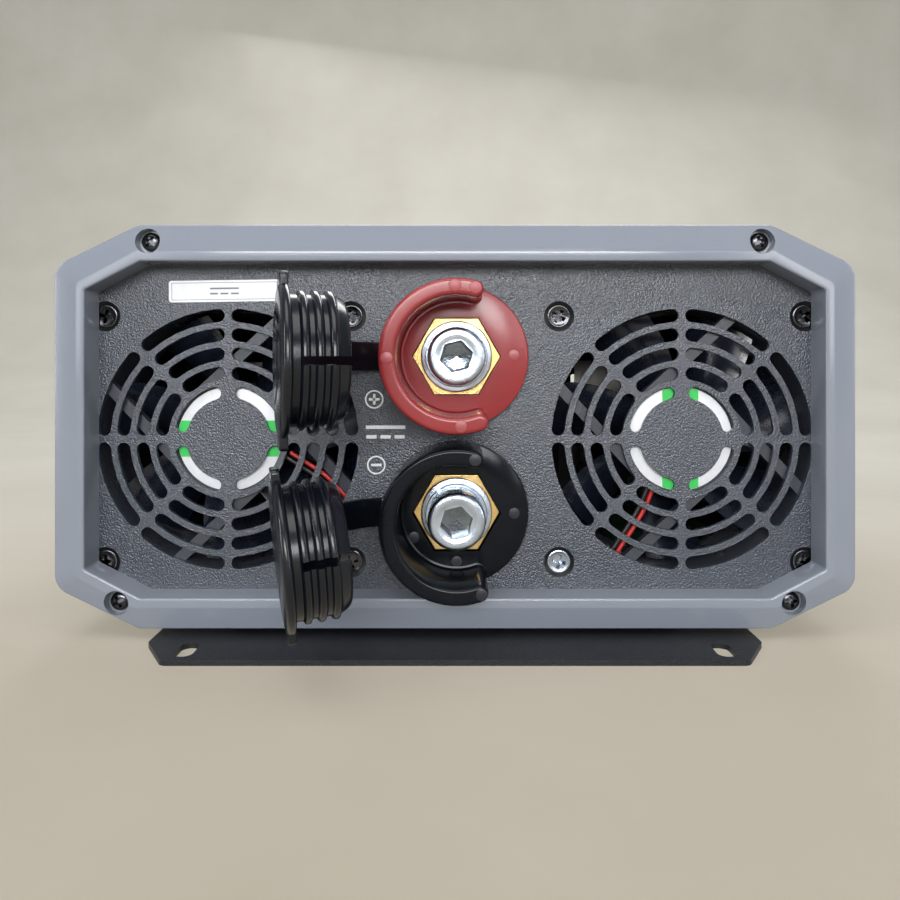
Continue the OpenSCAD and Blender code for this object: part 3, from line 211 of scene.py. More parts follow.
# One object from several, keeping their materials.
def joined(name, pieces):
    bm = bmesh.new()
    mats = []
    for piece in pieces:
        part = bmesh.new()
        part.from_mesh(piece.data)
        part.transform(piece.matrix_world)
        places = {}
        for i, m in enumerate(piece.data.materials):
            if m not in mats:
                mats.append(m)
            places[i] = mats.index(m)
        for f in part.faces:
            f.material_index = places.get(f.material_index, 0)
        copy = bpy.data.meshes.new("part")
        part.to_mesh(copy)
        bm.from_mesh(copy)
        part.free()
        bpy.data.meshes.remove(copy)
        bpy.data.objects.remove(piece)
    mesh = bpy.data.meshes.new(name)
    bm.to_mesh(mesh)
    bm.free()
    for m in mats:
        mesh.materials.append(m)
    whole = bpy.data.objects.new(name, mesh)
    bpy.context.scene.collection.objects.link(whole)
    return whole


# Turns (radius, height) points round the local Z axis and puts the result in place.
def turned(name, profile, steps, place=lambda p: p):
    points, faces = [], []
    for i in range(steps):
        a = math.radians(360 * i / steps)
        points += [place((*polar(r, a), z)) for r, z in profile]
    n = len(profile)
    for i in range(steps):
        j = (i + 1) % steps
        for k in range(n):
            m = (k + 1) % n
            if profile[k][0] < 1e-6 and profile[m][0] < 1e-6:          # both points lie on the axis
                continue
            faces.append((i * n + k, j * n + k, j * n + m, i * n + m))
    return newMesh(name, points, faces)


# A polygon pushed from one height to another.
def prism(name, outline, bottom, top, place):
    n = len(outline)
    points = [place((x, y, z)) for z in (bottom, top) for x, y in outline]
    faces = [tuple(reversed(range(n))), tuple(range(n, 2 * n))]
    faces += [(k, (k + 1) % n, n + (k + 1) % n, n + k) for k in range(n)]
    return newMesh(name, points, faces)


# The faces between rings of n points each; closed joins the last ring to the first.
def sideFaces(count, n, closed=False):
    faces = []
    for i in range(count if closed else count - 1):
        j = (i + 1) % count
        faces += [(i * n + k, i * n + (k + 1) % n, j * n + (k + 1) % n, j * n + k) for k in range(n)]
    return faces


# A skin over rings that have the same number of points, with a face at each end unless it is closed.
def lofted(name, rings, closed=False):
    n = len(rings[0])
    points = [p for ring in rings for p in ring]
    faces = sideFaces(len(rings), n, closed)
    if not closed:
        faces += [tuple(reversed(range(n))), tuple(range(len(points) - n, len(points)))]
    return newMesh(name, points, faces)


def spun(outline, a):
    return [(x * math.cos(a) - y * math.sin(a), x * math.sin(a) + y * math.cos(a)) for x, y in outline]


def circleShape(r, sides):
    return [polar(r, 2 * math.pi * k / sides) for k in range(sides)]


def hexagon(r, turn=0):
    return [polar(r, math.radians(60 * k + turn)) for k in range(6)]


def roundedBox(w, h, r, steps=5, tilt=0):
    out = []
    for cx, cy, a0 in ((w / 2 - r, h / 2 - r, 0), (r - w / 2, h / 2 - r, 90),
                       (r - w / 2, r - h / 2, 180), (w / 2 - r, r - h / 2, 270)):
        for i in range(steps + 1):
            x, y = polar(r, math.radians(a0 + 90 * i / steps))
            out.append((cx + x, cy + y))
    return spun(out, math.radians(tilt))


# Points of a smooth curve through a route.
def smoothPath(route, fine=6):
    pts = [Vector(p) for p in route]
    ends = [2 * pts[0] - pts[1]] + pts + [2 * pts[-1] - pts[-2]]
    out = []
    for i in range(1, len(ends) - 2):
        a, b, c, d = ends[i - 1:i + 3]
        for k in range(fine):
            t = k / fine
            out.append(0.5 * ((2 * b) + (c - a) * t + (2 * a - 5 * b + 4 * c - d) * t * t
                              + (3 * b - a - 3 * c + d) * t ** 3))
    return out + [pts[-1]]


# Sweeps a closed section (x across, y towards up) along a path; section(f) gives it at a share f of the way.
def swept(name, path, section, up):
    rings = []
    last = len(path) - 1
    for i, p in enumerate(path):
        d = (path[min(i + 1, last)] - path[max(i - 1, 0)]).normalized()
        side = d.cross(up).normalized()
        top = side.cross(d)
        rings.append([tuple(p + side * x + top * y) for x, y in section(i / last)])
    return lofted(name, rings)


# Gives a piece its finish and body, and says which CAD nodes it stands for.
def dress(piece, finish, body, *stands, slot=None):
    if finish is not None:
        piece.data.materials.clear()
        piece.data.materials.append(finishes[finish])
    if body is not None:
        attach(piece, body)
    if stands:
        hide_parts(*stands)
    return piece


# The piece's name in this scene: dc_panel becomes dcPanel.
def camel(node):
    first, *words = node.split("_")
    return first + "".join(word.capitalize() for word in words)


# A copy of a CAD piece with its edges eased, dressed in place of its node.
def easedCopy(node, width, finish, body, slot, steps=2):
    piece = bpy.data.objects.new(camel(node), nodes[node].data.copy())
    bpy.context.scene.collection.objects.link(piece)
    piece.data.materials.clear()
    eased(piece, width, steps)
    return dress(piece, finish, body, node, slot=slot)


# Shader helpers. A value may be a number or a socket; i0, i1 and so on give an input by its number.

def add(tree, kind, settings=None, **values):
    node = tree.nodes.new("ShaderNode" + kind)
    for key, value in (settings or {}).items():
        setattr(node, key, value)
    for key, value in values.items():
        socket = node.inputs[int(key[1:]) if key[1:].isdigit() else key.replace("_", " ")]
        if isinstance(value, bpy.types.NodeSocket):
            tree.links.new(value, socket)
        else:
            socket.default_value = value
    return node


def maths(tree, operation, a, b):
    return add(tree, "Math", {"operation": operation}, i0=a, i1=b).outputs[0]


def remap(tree, value, fromLow, fromHigh, toLow=0.0, toHigh=1.0):
    spread = add(tree, "MapRange", None, i0=value, i1=fromLow, i2=fromHigh, i3=toLow, i4=toHigh)
    return spread.outputs[0]


def splitUp(tree, vector):
    return add(tree, "SeparateXYZ", None, Vector=vector).outputs


def mixValues(tree, factor, a, b):
    return add(tree, "Mix", {"data_type": "FLOAT"}, Factor=factor, A=a, B=b).outputs[0]


def mixColours(tree, factor, a, b):
    return add(tree, "Mix", {"data_type": "RGBA"}, i0=factor, i6=a, i7=b).outputs[2]


def noiseAt(tree, vector, scale, detail, rough=0.5):
    noise = add(tree, "TexNoise", None, Vector=vector, Scale=scale, Detail=detail, Roughness=rough)
    return noise.outputs["Fac"]


# A dim room with a brighter ceiling and a brighter wall behind the camera
room = {"floor": (0.05, 0.05, 0.05, 1), "ceiling": (0.32, 0.34, 0.38, 1), "wall": (0.14, 0.155, 0.18, 1),
        "up": (-0.5, 0.9), "back": (-0.80, -0.985)}


def makeRoom():
    studio = bpy.data.worlds.new("studio")
    studio.use_nodes = True
    tree = studio.node_tree
    way = splitUp(tree, add(tree, "TexCoord").outputs["Generated"])
    masks = []
    for axis, (start, end) in (("Z", room["up"]), ("Y", room["back"])):
        masks.append(add(tree, "MapRange", {"interpolation_type": "SMOOTHSTEP"},
                         i0=way[axis], i1=start, i2=end).outputs[0])
    shell = mixColours(tree, masks[0], room["floor"], room["ceiling"])
    tree.links.new(mixColours(tree, masks[1], shell, room["wall"]), tree.nodes["Background"].inputs["Color"])
    bpy.context.scene.world = studio


makeRoom()


# Shader groups: each gives masks and heights that the finishes share

def shaderGroup(name, inputs, outputs):
    tree = bpy.data.node_groups.new(name, "ShaderNodeTree")
    for label, value in inputs.items():
        kind = "NodeSocketVector" if label == "Vector" else "NodeSocketFloat"
        socket = tree.interface.new_socket(label, in_out="INPUT", socket_type=kind)
        if value is not None:
            socket.default_value = value
    for label in outputs:
        tree.interface.new_socket(label, in_out="OUTPUT", socket_type="NodeSocketFloat")
    given = tree.nodes.new("NodeGroupInput").outputs
    return tree, given, given["Vector"], tree.nodes.new("NodeGroupOutput").inputs


# Powder coat and moulded grain: small round bumps over a slow waviness.
def buildGrainGroup():
    tree, given, vector, result = shaderGroup(
        "pebbleGrain", {"Vector": None, "Scale": 1200.0, "Speckle": 0.5}, ("Height", "Tone"))
    fine = noiseAt(tree, vector, given["Scale"], 2.0, 0.55)
    cells = add(tree, "TexVoronoi", {"feature": "SMOOTH_F1"}, Vector=vector,
                Scale=given["Scale"], Smoothness=0.6).outputs["Distance"]
    slow = remap(tree, noiseAt(tree, vector, 60.0, 3.0), 0.3, 0.7)
    spots = remap(tree, fine, 0.42, 0.66)
    tree.links.new(maths(tree, "SUBTRACT", fine, maths(tree, "MULTIPLY", cells, 0.45)), result["Height"])
    tree.links.new(mixValues(tree, given["Speckle"], slow, spots), result["Tone"])
    return tree


# Drawn or brushed metal: long fine lines along one axis.
def buildStreakGroup():
    tree, given, vector, result = shaderGroup(
        "drawnLines", {"Vector": None, "Along X": 40.0, "Along Y": 40.0, "Along Z": 40.0}, ("Height", "Tone"))
    spread = add(tree, "CombineXYZ", None, X=given["Along X"], Y=given["Along Y"], Z=given["Along Z"])
    scaled = add(tree, "VectorMath", {"operation": "MULTIPLY"}, i0=vector, i1=spread.outputs[0])
    lines = noiseAt(tree, scaled.outputs[0], 1.0, 4.0, 0.6)
    wide = noiseAt(tree, vector, 45.0, 2.0)
    tree.links.new(lines, result["Height"])
    tree.links.new(mixValues(tree, 0.4, remap(tree, lines, 0.35, 0.65), wide), result["Tone"])
    return tree


# Lathe marks: rings round an axis along Y through a centre, over faint blots.
def buildTurningGroup():
    tree, given, vector, result = shaderGroup(
        "latheMarks", {"Vector": None, "Centre X": 0.0, "Centre Z": 0.0, "Rings": 3000.0}, ("Height", "Tone"))
    parts = splitUp(tree, vector)
    flat = add(tree, "CombineXYZ", None, X=maths(tree, "SUBTRACT", parts["X"], given["Centre X"]),
               Y=maths(tree, "SUBTRACT", parts["Z"], given["Centre Z"]), Z=0.0)
    radius = add(tree, "VectorMath", {"operation": "LENGTH"}, i0=flat.outputs[0]).outputs["Value"]
    depth = add(tree, "Math", {"operation": "MULTIPLY_ADD"}, i0=parts["Y"], i1=1.3, i2=radius)
    across = maths(tree, "MULTIPLY", depth.outputs[0], given["Rings"])
    band = add(tree, "CombineXYZ", None, X=across, Y=0.0, Z=0.0)
    rings = noiseAt(tree, band.outputs[0], 1.0, 2.0)
    blot = noiseAt(tree, vector, 350.0, 3.0)
    tree.links.new(rings, result["Height"])
    tree.links.new(remap(tree, mixValues(tree, 0.55, rings, blot), 0.35, 0.65), result["Tone"])
    return tree


# Finger marks and rubbed patches, for roughness.
def buildSmudgeGroup():
    tree, given, vector, result = shaderGroup("smudges", {"Vector": None, "Scale": 30.0}, ("Mask",))
    patch = noiseAt(tree, vector, given["Scale"], 4.0, 0.6)
    swirl = add(tree, "TexNoise", None, Vector=vector, Scale=95.0, Detail=2.0, Distortion=0.5).outputs["Fac"]
    tree.links.new(remap(tree, mixValues(tree, 0.3, patch, swirl), 0.35, 0.65), result["Mask"])
    return tree


# Fine dust: more of it where a surface faces up.
def buildDustGroup():
    tree, given, vector, result = shaderGroup("settledDust", {"Vector": None, "Amount": 0.1}, ("Mask",))
    normal = add(tree, "NewGeometry").outputs["Normal"]
    upward = remap(tree, splitUp(tree, normal)["Z"], -0.2, 1.0, 0.25, 1.0)
    specks = remap(tree, noiseAt(tree, vector, 900.0, 3.0, 0.7), 0.5, 0.75)
    film = remap(tree, noiseAt(tree, vector, 25.0, 4.0), 0.35, 0.7)
    settled = maths(tree, "MULTIPLY", mixValues(tree, 0.5, specks, film), upward)
    tree.links.new(maths(tree, "MULTIPLY", settled, given["Amount"]), result["Mask"])
    return tree


groups = {"pebble": buildGrainGroup(), "streak": buildStreakGroup(), "lathe": buildTurningGroup(),
          "smudge": buildSmudgeGroup(), "dust": buildDustGroup()}
print("room and shader groups built")


# Finishes. Each states two tones that the grain mixes, the limits between which smudges move the roughness,
# the grain's scale (for drawn metal along x, y and z, for turned metal the rings) and its bumps' strength.

def lookOf(grain, values, more):
    return {"grain": grain, **dict(zip(("colour", "second", "rough", "scale", "bump"), values)), **more}


def pebbled(*values, **more):
    return lookOf("pebble", values, more)


def drawn(*values, **more):
    return lookOf("streak", values, more)


def lathed(*values, spot):
    return lookOf("lathe", values, {"spot": spot, "metal": 1.0})


looks = {
    "bezelPaint": pebbled((0.180, 0.199, 0.236), (0.188, 0.207, 0.244), (0.15, 0.165), 1500, 0.012,
        coat=0.3),
    "panelCoat": pebbled((0.020, 0.026, 0.037), (0.048, 0.060, 0.082), (0.25, 0.31), 1900, 0.6, gloss=0.7,
        speckle=0.8, dust=0.01),
    "bracketCoat": pebbled((0.008, 0.009, 0.0115), (0.015, 0.017, 0.021), (0.36, 0.42), 1900, 0.4,
        gloss=0.3, speckle=0.75, dust=0.01),
    "caseAnodised": drawn((0.03, 0.03, 0.033), (0.055, 0.055, 0.06), (0.36, 0.48), (2600, 18, 2600), 0.12,
        metal=0.35, dust=0.14),
    "screwBlack": pebbled((0.045, 0.046, 0.05), (0.09, 0.092, 0.10), (0.12, 0.2), 2600, 0.06, metal=1.0),
    # dimplePaintedShade: near black, painted shade in the dimples round the fan screws
    "dimplePaintedShade": pebbled((0.003, 0.003, 0.004), (0.006, 0.006, 0.007), (0.4, 0.5), 1800, 0.1, gloss=0.3),
    "fanPlastic": pebbled((0.032, 0.037, 0.047), (0.047, 0.053, 0.066), (0.24, 0.33), 1800, 0.08,
        dust=0.02),
    "rotorPlastic": pebbled((0.007, 0.010, 0.018), (0.012, 0.016, 0.027), (0.14, 0.22), 1500, 0.05,
        dust=0.01),
    "stickerWhite": pebbled((0.74, 0.76, 0.79), (0.66, 0.68, 0.71), (0.3, 0.42), 500, 0.03),
    "stickerGreen": pebbled((0.02, 0.56, 0.08), (0.03, 0.48, 0.09), (0.3, 0.42), 500, 0.03),
    "printWhite": pebbled((0.72, 0.74, 0.75), (0.6, 0.62, 0.63), (0.45, 0.6), 1800, 0.15, speckle=0.7),
    "printDark": pebbled((0.12, 0.13, 0.14), (0.18, 0.19, 0.2), (0.45, 0.6), 1800, 0.05),
    "wireRed": pebbled((0.50, 0.02, 0.02), (0.42, 0.02, 0.02), (0.28, 0.4), 900, 0.04),
    "wireBlack": pebbled((0.012, 0.012, 0.013), (0.02, 0.02, 0.022), (0.28, 0.4), 900, 0.04),
    "redNylon": pebbled((0.215, 0.017, 0.020), (0.25, 0.022, 0.025), (0.2, 0.27), 260, 0.03, speckle=0.15,
        dust=0.008),
    "redMark": pebbled((0.27, 0.045, 0.05), (0.31, 0.055, 0.06), (0.34, 0.42), 260, 0.03),
    "blackNylon": pebbled((0.002, 0.0034, 0.0056), (0.0035, 0.0055, 0.0085), (0.13, 0.2), 260, 0.03,
        gloss=0.17, speckle=0.15, dust=0.006),
    "blackMark": pebbled((0.012, 0.014, 0.018), (0.02, 0.022, 0.027), (0.34, 0.42), 260, 0.03, gloss=0.3),
    "capRubber": pebbled((0.002, 0.0032, 0.0054), (0.004, 0.006, 0.0095), (0.17, 0.25), 900, 0.05,
        gloss=0.4, speckle=0.3, dust=0.003),
    "nutPlastic": pebbled((0.02, 0.02, 0.022), (0.035, 0.035, 0.038), (0.4, 0.5), 900, 0.08, dust=0.1),
    "postBrass": lathed((0.74, 0.53, 0.23), (0.60, 0.40, 0.15), (0.22, 0.36), 4200, 0.14, spot="positive"),
    "zincPlate": pebbled((0.42, 0.48, 0.56), (0.32, 0.38, 0.46), (0.18, 0.3), 1500, 0.12, metal=1.0),
    "zincTurned": lathed((0.56, 0.62, 0.70), (0.40, 0.46, 0.54), (0.2, 0.32), 5200, 0.16, spot="positive"),
    # socketPaintedShade: darker zinc, painted shade inside the bolts' hex sockets
    "socketPaintedShade": pebbled((0.22, 0.25, 0.28), (0.12, 0.145, 0.17), (0.10, 0.18), 1500, 0.1, metal=1.0),
    "copperBar": drawn((0.75, 0.38, 0.22), (0.62, 0.28, 0.16), (0.25, 0.4), (1500, 40, 1500), 0.06,
        metal=1.0),
    "boardGreen": pebbled((0.01, 0.12, 0.045), (0.015, 0.16, 0.06), (0.25, 0.4), 500, 0.05, dust=0.08),
    "standoffBrass": pebbled((0.66, 0.48, 0.22), (0.55, 0.4, 0.18), (0.25, 0.4), 1500, 0.05, metal=1.0),
    "sleeveBlue": drawn((0.015, 0.025, 0.12), (0.02, 0.035, 0.15), (0.22, 0.32), (900, 900, 20), 0.04),
    "sleeveDark": drawn((0.01, 0.01, 0.014), (0.02, 0.02, 0.026), (0.22, 0.32), (900, 900, 20), 0.04),
    "ferrite": pebbled((0.02, 0.02, 0.021), (0.04, 0.04, 0.042), (0.5, 0.65), 1300, 0.2),
    "sinkMill": drawn((0.55, 0.56, 0.57), (0.45, 0.46, 0.48), (0.3, 0.45), (2200, 22, 2200), 0.08,
        metal=1.0),
    "epoxyBlack": pebbled((0.014, 0.014, 0.015), (0.028, 0.028, 0.03), (0.4, 0.55), 1600, 0.12),
    "enamelWire": drawn((0.42, 0.17, 0.06), (0.3, 0.11, 0.04), (0.2, 0.32), (60, 60, 900), 0.25, metal=0.7),
    "outletPlastic": pebbled((0.016, 0.016, 0.017), (0.026, 0.026, 0.028), (0.25, 0.36), 1100, 0.06,
        dust=0.02),
    "switchPlastic": pebbled((0.011, 0.011, 0.012), (0.02, 0.02, 0.022), (0.16, 0.28), 900, 0.04,
        dust=0.02),
    "redButton": pebbled((0.42, 0.015, 0.015), (0.5, 0.02, 0.02), (0.18, 0.28), 700, 0.03),
    "lampGreen": pebbled((0.03, 0.42, 0.09), (0.05, 0.55, 0.12), (0.08, 0.16), 600, 0.02, coat=0.6),
}
looks["postBrassLower"] = {**looks["postBrass"], "spot": "negative"}
looks["zincTurnedLower"] = {**looks["zincTurned"], "spot": "negative"}
turnedMetals = {"positive": ("zincTurned", "postBrass"), "negative": ("zincTurnedLower", "postBrassLower")}

dustColour = (0.42, 0.41, 0.38, 1)
plainLook = {"speckle": 0.4, "smudge": 35.0, "coatRough": 0.12, "gloss": 0.5, "bumpReach": 0.0004}


def makeFinish(name, look):
    mat = bpy.data.materials.new(name)
    mat.use_nodes = True
    tree = mat.node_tree
    shader = tree.nodes["Principled BSDF"].inputs
    place = add(tree, "TexCoord").outputs["Object"]

    def group(kind, **values):
        return add(tree, "Group", {"node_tree": groups[kind]}, Vector=place, **values).outputs

    if look["grain"] == "pebble":
        grain = group("pebble", Scale=float(look["scale"]), Speckle=look.get("speckle", plainLook["speckle"]))
    elif look["grain"] == "streak":
        x, y, z = (float(lines) for lines in look["scale"])
        grain = group("streak", Along_X=x, Along_Y=y, Along_Z=z)
    else:
        x, z = terminalSpots[look["spot"]]
        grain = group("lathe", Centre_X=x / 1000, Centre_Z=z / 1000, Rings=float(look["scale"]))
    smudge = group("smudge", Scale=plainLook["smudge"])["Mask"]
    colour = mixColours(tree, grain["Tone"], (*look["colour"], 1), (*look["second"], 1))
    if "dust" in look:
        colour = mixColours(tree, group("dust", Amount=look["dust"])["Mask"], colour, dustColour)
    tree.links.new(colour, shader["Base Color"])
    tree.links.new(remap(tree, smudge, 0.0, 1.0, *look["rough"]), shader["Roughness"])
    bump = add(tree, "Bump", None, Strength=look["bump"], Distance=plainLook["bumpReach"],
               Height=grain["Height"])
    tree.links.new(bump.outputs[0], shader["Normal"])
    shader["Metallic"].default_value = look.get("metal", 0.0)
    shader["Coat Weight"].default_value = look.get("coat", 0.0)
    shader["Coat Roughness"].default_value = plainLook["coatRough"]
    shader["Specular IOR Level"].default_value = look.get("gloss", plainLook["gloss"])
    return mat


finishes = {name: makeFinish(name, look) for name, look in looks.items()}
print("finishes made:", len(finishes))

# Floor and backdrop in one sweep: own is the share of their colour that they give off themselves

floorPlan = {"halfWidth": 5.0, "front": -7.0, "bend": 0.8, "radius": 0.9, "bendSteps": 12, "top": 1.9,
             "back": ((0.50, 0.475, 0.41, 1), (0.57, 0.545, 0.48, 1)),
             "near": ((0.36, 0.31, 0.23, 1), (0.41, 0.36, 0.275, 1)),
             "fade": (0.35, -0.25), "own": 0.55, "rough": 0.75}


def makeFloor():
    p = floorPlan
    profile = [(p["front"], 0.0), (p["bend"], 0.0)]
    for i in range(1, p["bendSteps"] + 1):
        a = math.radians(90 * i / p["bendSteps"])
        profile.append((p["bend"] + p["radius"] * math.sin(a), p["radius"] * (1 - math.cos(a))))
    profile.append((p["bend"] + p["radius"], p["top"]))
    points = [(side * p["halfWidth"] * 1000, y * 1000, z * 1000) for y, z in profile for side in (-1, 1)]
    faces = [(2 * i, 2 * i + 1, 2 * i + 3, 2 * i + 2) for i in range(len(profile) - 1)]
    floor = smooth(newMesh("floor", points, faces), 60)
    mat = bpy.data.materials.new("paleFloor")
    mat.use_nodes = True
    tree = mat.node_tree
    shader = tree.nodes["Principled BSDF"].inputs
    place = add(tree, "TexCoord").outputs["Object"]
    tone = remap(tree, noiseAt(tree, place, 5.0, 5.0, 0.6), 0.3, 0.7)
    near = remap(tree, splitUp(tree, place)["Y"], *p["fade"])
    colour = mixColours(tree, near, mixColours(tree, tone, *p["back"]), mixColours(tree, tone, *p["near"]))
    tree.links.new(mixColours(tree, p["own"], colour, (0, 0, 0, 1)), shader["Base Color"])
    ray = add(tree, "LightPath").outputs
    seen = maths(tree, "MAXIMUM", ray["Is Camera Ray"], ray["Is Glossy Ray"])
    seen = maths(tree, "MAXIMUM", seen, ray["Is Transmission Ray"])
    tree.links.new(colour, shader["Emission Color"])
    tree.links.new(maths(tree, "MULTIPLY", seen, p["own"]), shader["Emission Strength"])
    shader["Roughness"].default_value = p["rough"]
    floor.data.materials.append(mat)


makeFloor()
print("stage ready")

# Bezels: loops of points from the back of the skirt over the face to the opening's inner edge

bezelPlan = {"cornerW": 23.6, "cornerH": 11.5, "cornerR": 6.0, "side": 9.0, "top": 10.3, "bottom": 8.9,
             "openingW": 15.5, "openingH": 8.0, "openingR": 1.2, "skirt": 1.6, "depth": 30.0, "rim": 9.5,
             "edgeR": 0.45, "slope": 1.5, "bandW": 2.5, "bandR": 0.55, "bendSteps": 7, "screwHole": 3.5,
             "screwDepth": 4.2, "screws": ((-86, 112.0), (86, 112.0), (-94.8, 10.5), (94.8, 10.5))}
caseHalf = high("front_bezel", 0)
caseLow, caseHigh = low("front_bezel", 2), high("front_bezel", 2)


# A box with its corners cut off, cw wide and ch high each, and every bend rounded by r.
def eightSided(w, z0, z1, cw, ch, r):
    corners = [(w - cw, z0), (w, z0 + ch), (w, z1 - ch), (w - cw, z1),
               (cw - w, z1), (-w, z1 - ch), (-w, z0 + ch), (cw - w, z0)]
    out = []
    for i, b in enumerate(corners):
        a, c = Vector(corners[i - 1]), Vector(corners[(i + 1) % 8])
        b = Vector(b)
        u, v = (a - b).normalized(), (c - b).normalized()
        half = math.acos(u.dot(v)) / 2
        centre = b + (u + v).normalized() * r / math.sin(half)
        first = b + u * r / math.tan(half) - centre
        last = b + v * r / math.tan(half) - centre
        a0 = math.atan2(first.y, first.x)
        turn = math.atan2(first.x * last.y - first.y * last.x, first.dot(last))
        for k in range(bezelPlan["bendSteps"] + 1):
            x, z = polar(r, a0 + turn * k / bezelPlan["bendSteps"])
            out.append((centre.x + x, centre.y + z))
    return out


def outerLoop(d):
    p = bezelPlan
    length = math.hypot(p["cornerW"], p["cornerH"])
    nx, nz = p["cornerH"] / length, p["cornerW"] / length
    return eightSided(caseHalf - d, caseLow + d, caseHigh - d, p["cornerW"] - d + d * (1 - nz) / nx,
                      p["cornerH"] - d + d * (1 - nx) / nz, p["cornerR"] - d * 0.5)


def innerLoop(d):
    p = bezelPlan
    return eightSided(caseHalf - p["side"] + d, caseLow + p["bottom"] - d, caseHigh - p["top"] + d,
                      p["openingW"] + d * 0.45, p["openingH"] + d * 0.3, p["openingR"] + d * 0.3)


def makeBezel(name, node, flip):
    p = bezelPlan
    skirt, depth, edgeR, band, bandR = p["skirt"], p["depth"], p["edgeR"], p["bandW"], p["bandR"]
    loops = [(outerLoop(skirt), p["rim"]), (outerLoop(skirt), depth - 0.3), (outerLoop(skirt - 0.25), depth),
             (outerLoop(0.3), depth), (outerLoop(0), depth - 0.35)]
    for i in range(6):
        a = math.radians(82 * i / 5)
        loops.append((outerLoop(edgeR * (1 - math.cos(a))), p["slope"] + edgeR * (1 - math.sin(a))))
    loops += [(innerLoop(band + 0.3), 0.05), (innerLoop(band + 0.08), 0.012), (innerLoop(band - 0.15), 0.0)]
    for i in range(7):
        a = math.radians(90 * i / 6)
        loops.append((innerLoop(bandR * (1 - math.sin(a))), 0.03 + bandR * (1 - math.cos(a))))
    loops.append((innerLoop(0), p["rim"]))
    put = (lambda q: (-q[0], caseEnd - q[1], q[2])) if flip else (lambda q: q)
    bezel = lofted(name, [[put((x, y, z)) for x, z in loop] for loop, y in loops], closed=True)
    r, d = p["screwHole"], p["screwDepth"]
    hole = [(0, -3), (r + 0.4, -3), (r + 0.4, -0.01), (r + 0.1, 0.2), (r, 0.45), (r, d), (0, d)]
    cutters = [turned("hole", hole, 40, lambda q, x=x, z=z: put((x + q[0], q[2], z + q[1])))
               for x, z in p["screws"]]
    cut(bezel, joined("holes", cutters))
    dress(smooth(bezel, 28), "bezelPaint", "case", node, slot="bezel")


makeBezel("frontBezel", "front_bezel", False)
makeBezel("rearBezel", "rear_bezel", True)
print("bezels made")

# Screws with a cross recess: their profile of (radius, height), and the recess's arm, half width and depth

screwKinds = {
    "bezel": {"reach": 1.85, "half": 0.5, "deep": 2.0, "profile": [
        (0, -13.5), (1.15, -13.5), (1.15, 0), (2.45, 0), (2.68, 0.2), (2.7, 0.75), (2.45, 1.35), (1.9, 1.75),
        (1.1, 1.9), (0, 1.9)]},
    "fan": {"reach": 2.25, "half": 0.55, "deep": 1.7, "profile": [
        (0, -11), (1.9, -11), (1.9, -1.9), (3.28, -0.86), (3.36, -0.72), (3.3, -0.56), (3.1, -0.48),
        (2.85, -0.5), (2.6, -0.62), (1.6, -0.66), (0, -0.66)]},
    "bracket": {"reach": 1.5, "half": 0.32, "deep": 0.8, "profile": [
        (0, -5.4), (1.5, -5.4), (1.5, -1.2), (2.85, -0.1), (2.8, -0.05), (0, -0.05)]},
    "outlet": {"reach": 1.8, "half": 0.42, "deep": 1.2, "profile": [
        (0, -9), (1.55, -9), (1.55, 0), (3.1, 0), (3.2, 0.2), (3.15, 0.9), (2.6, 1.5), (1.6, 1.85), (0, 1.9)]},
}
recessTaper = (0.6, 0.85)               # how far the recess narrows to its bottom, along and across an arm
recessAbove = 0.6


# places are functions that put a point of the screw's own frame in the object's; bright is the number of a
# screw that stayed bare metal.
def makeScrews(node, kind, places, finish="screwBlack", slot="black_screws", bright=None):
    s = screwKinds[kind]
    model = turned("model", s["profile"], 36)
    reach, half, top = s["reach"], s["half"], s["profile"][-1][1]
    for swap in (False, True):
        arm = [(reach, half), (-reach, half), (-reach, -half), (reach, -half)]
        tip = [(x * recessTaper[0], y * recessTaper[1]) for x, y in arm]
        if swap:
            arm, tip = [(-y, x) for x, y in arm], [(-y, x) for x, y in tip]
        points = [(x, y, top + recessAbove) for x, y in arm] + [(x, y, top - s["deep"]) for x, y in tip]
        faces = [(0, 1, 2, 3), (7, 6, 5, 4)] + [(k, k + 4, (k + 1) % 4 + 4, (k + 1) % 4) for k in range(4)]
        cut(model, newMesh("slot", points, faces))
    smooth(model, 30)
    copies = []
    for number, place in enumerate(places):
        turn = dice.uniform(0, math.pi)
        copy = bpy.data.objects.new("copy", model.data.copy())
        bpy.context.scene.collection.objects.link(copy)
        for v in copy.data.vertices:
            x, y, z = (c * 1000 for c in v.co)
            v.co = Vector(place((*spun([(x, y)], turn)[0], z))) / 1000
        tidyMesh(copy)
        copies.append(dress(copy, "zincPlate" if number == bright else finish, None))
    bpy.data.objects.remove(model)
    dress(smooth(joined(camel(node), copies), 30), None, "case", node, slot=slot)


sink = bezelPlan["rim"] - bezelPlan["screwDepth"]
for end, place in (("front", frontPlace), ("rear", backPlace)):
    makeScrews(end + "_bezel_screws", "bezel", [place(s, sink) for s in bezelPlan["screws"]])
fanPitch = 71.5
fanCorners = [(i * fanPitch / 2, j * fanPitch / 2) for i in (-1, 1) for j in (-1, 1)]
fanScrewSpots = [(x + dx, z + dz) for x, z in fanSpots.values() for dx, dz in fanCorners]
makeScrews("fan_screws", "fan", [frontPlace(s) for s in fanScrewSpots], bright=4)
bracketGrid = {"x": 62, "y": (39, 48)}
bracketRows = [*bracketGrid["y"], *(caseEnd - y for y in bracketGrid["y"])]
bracketSpots = [(side * bracketGrid["x"], y) for side in (-1, 1) for y in bracketRows]
underPlaces = [lambda q, x=x, y=y: (x + q[0], y + q[1], -q[2]) for x, y in bracketSpots]
makeScrews("bracket_screws", "bracket", underPlaces)
outletGrid = {"x": (34, 76), "z": 58, "halfPitch": 41.65}
outletSpots = [(x, outletGrid["z"] + s * outletGrid["halfPitch"]) for x in outletGrid["x"] for s in (-1, 1)]
makeScrews("outlet_screws", "outlet", [backPlace(s) for s in outletSpots], "zincPlate", "steel")
print("screws made")

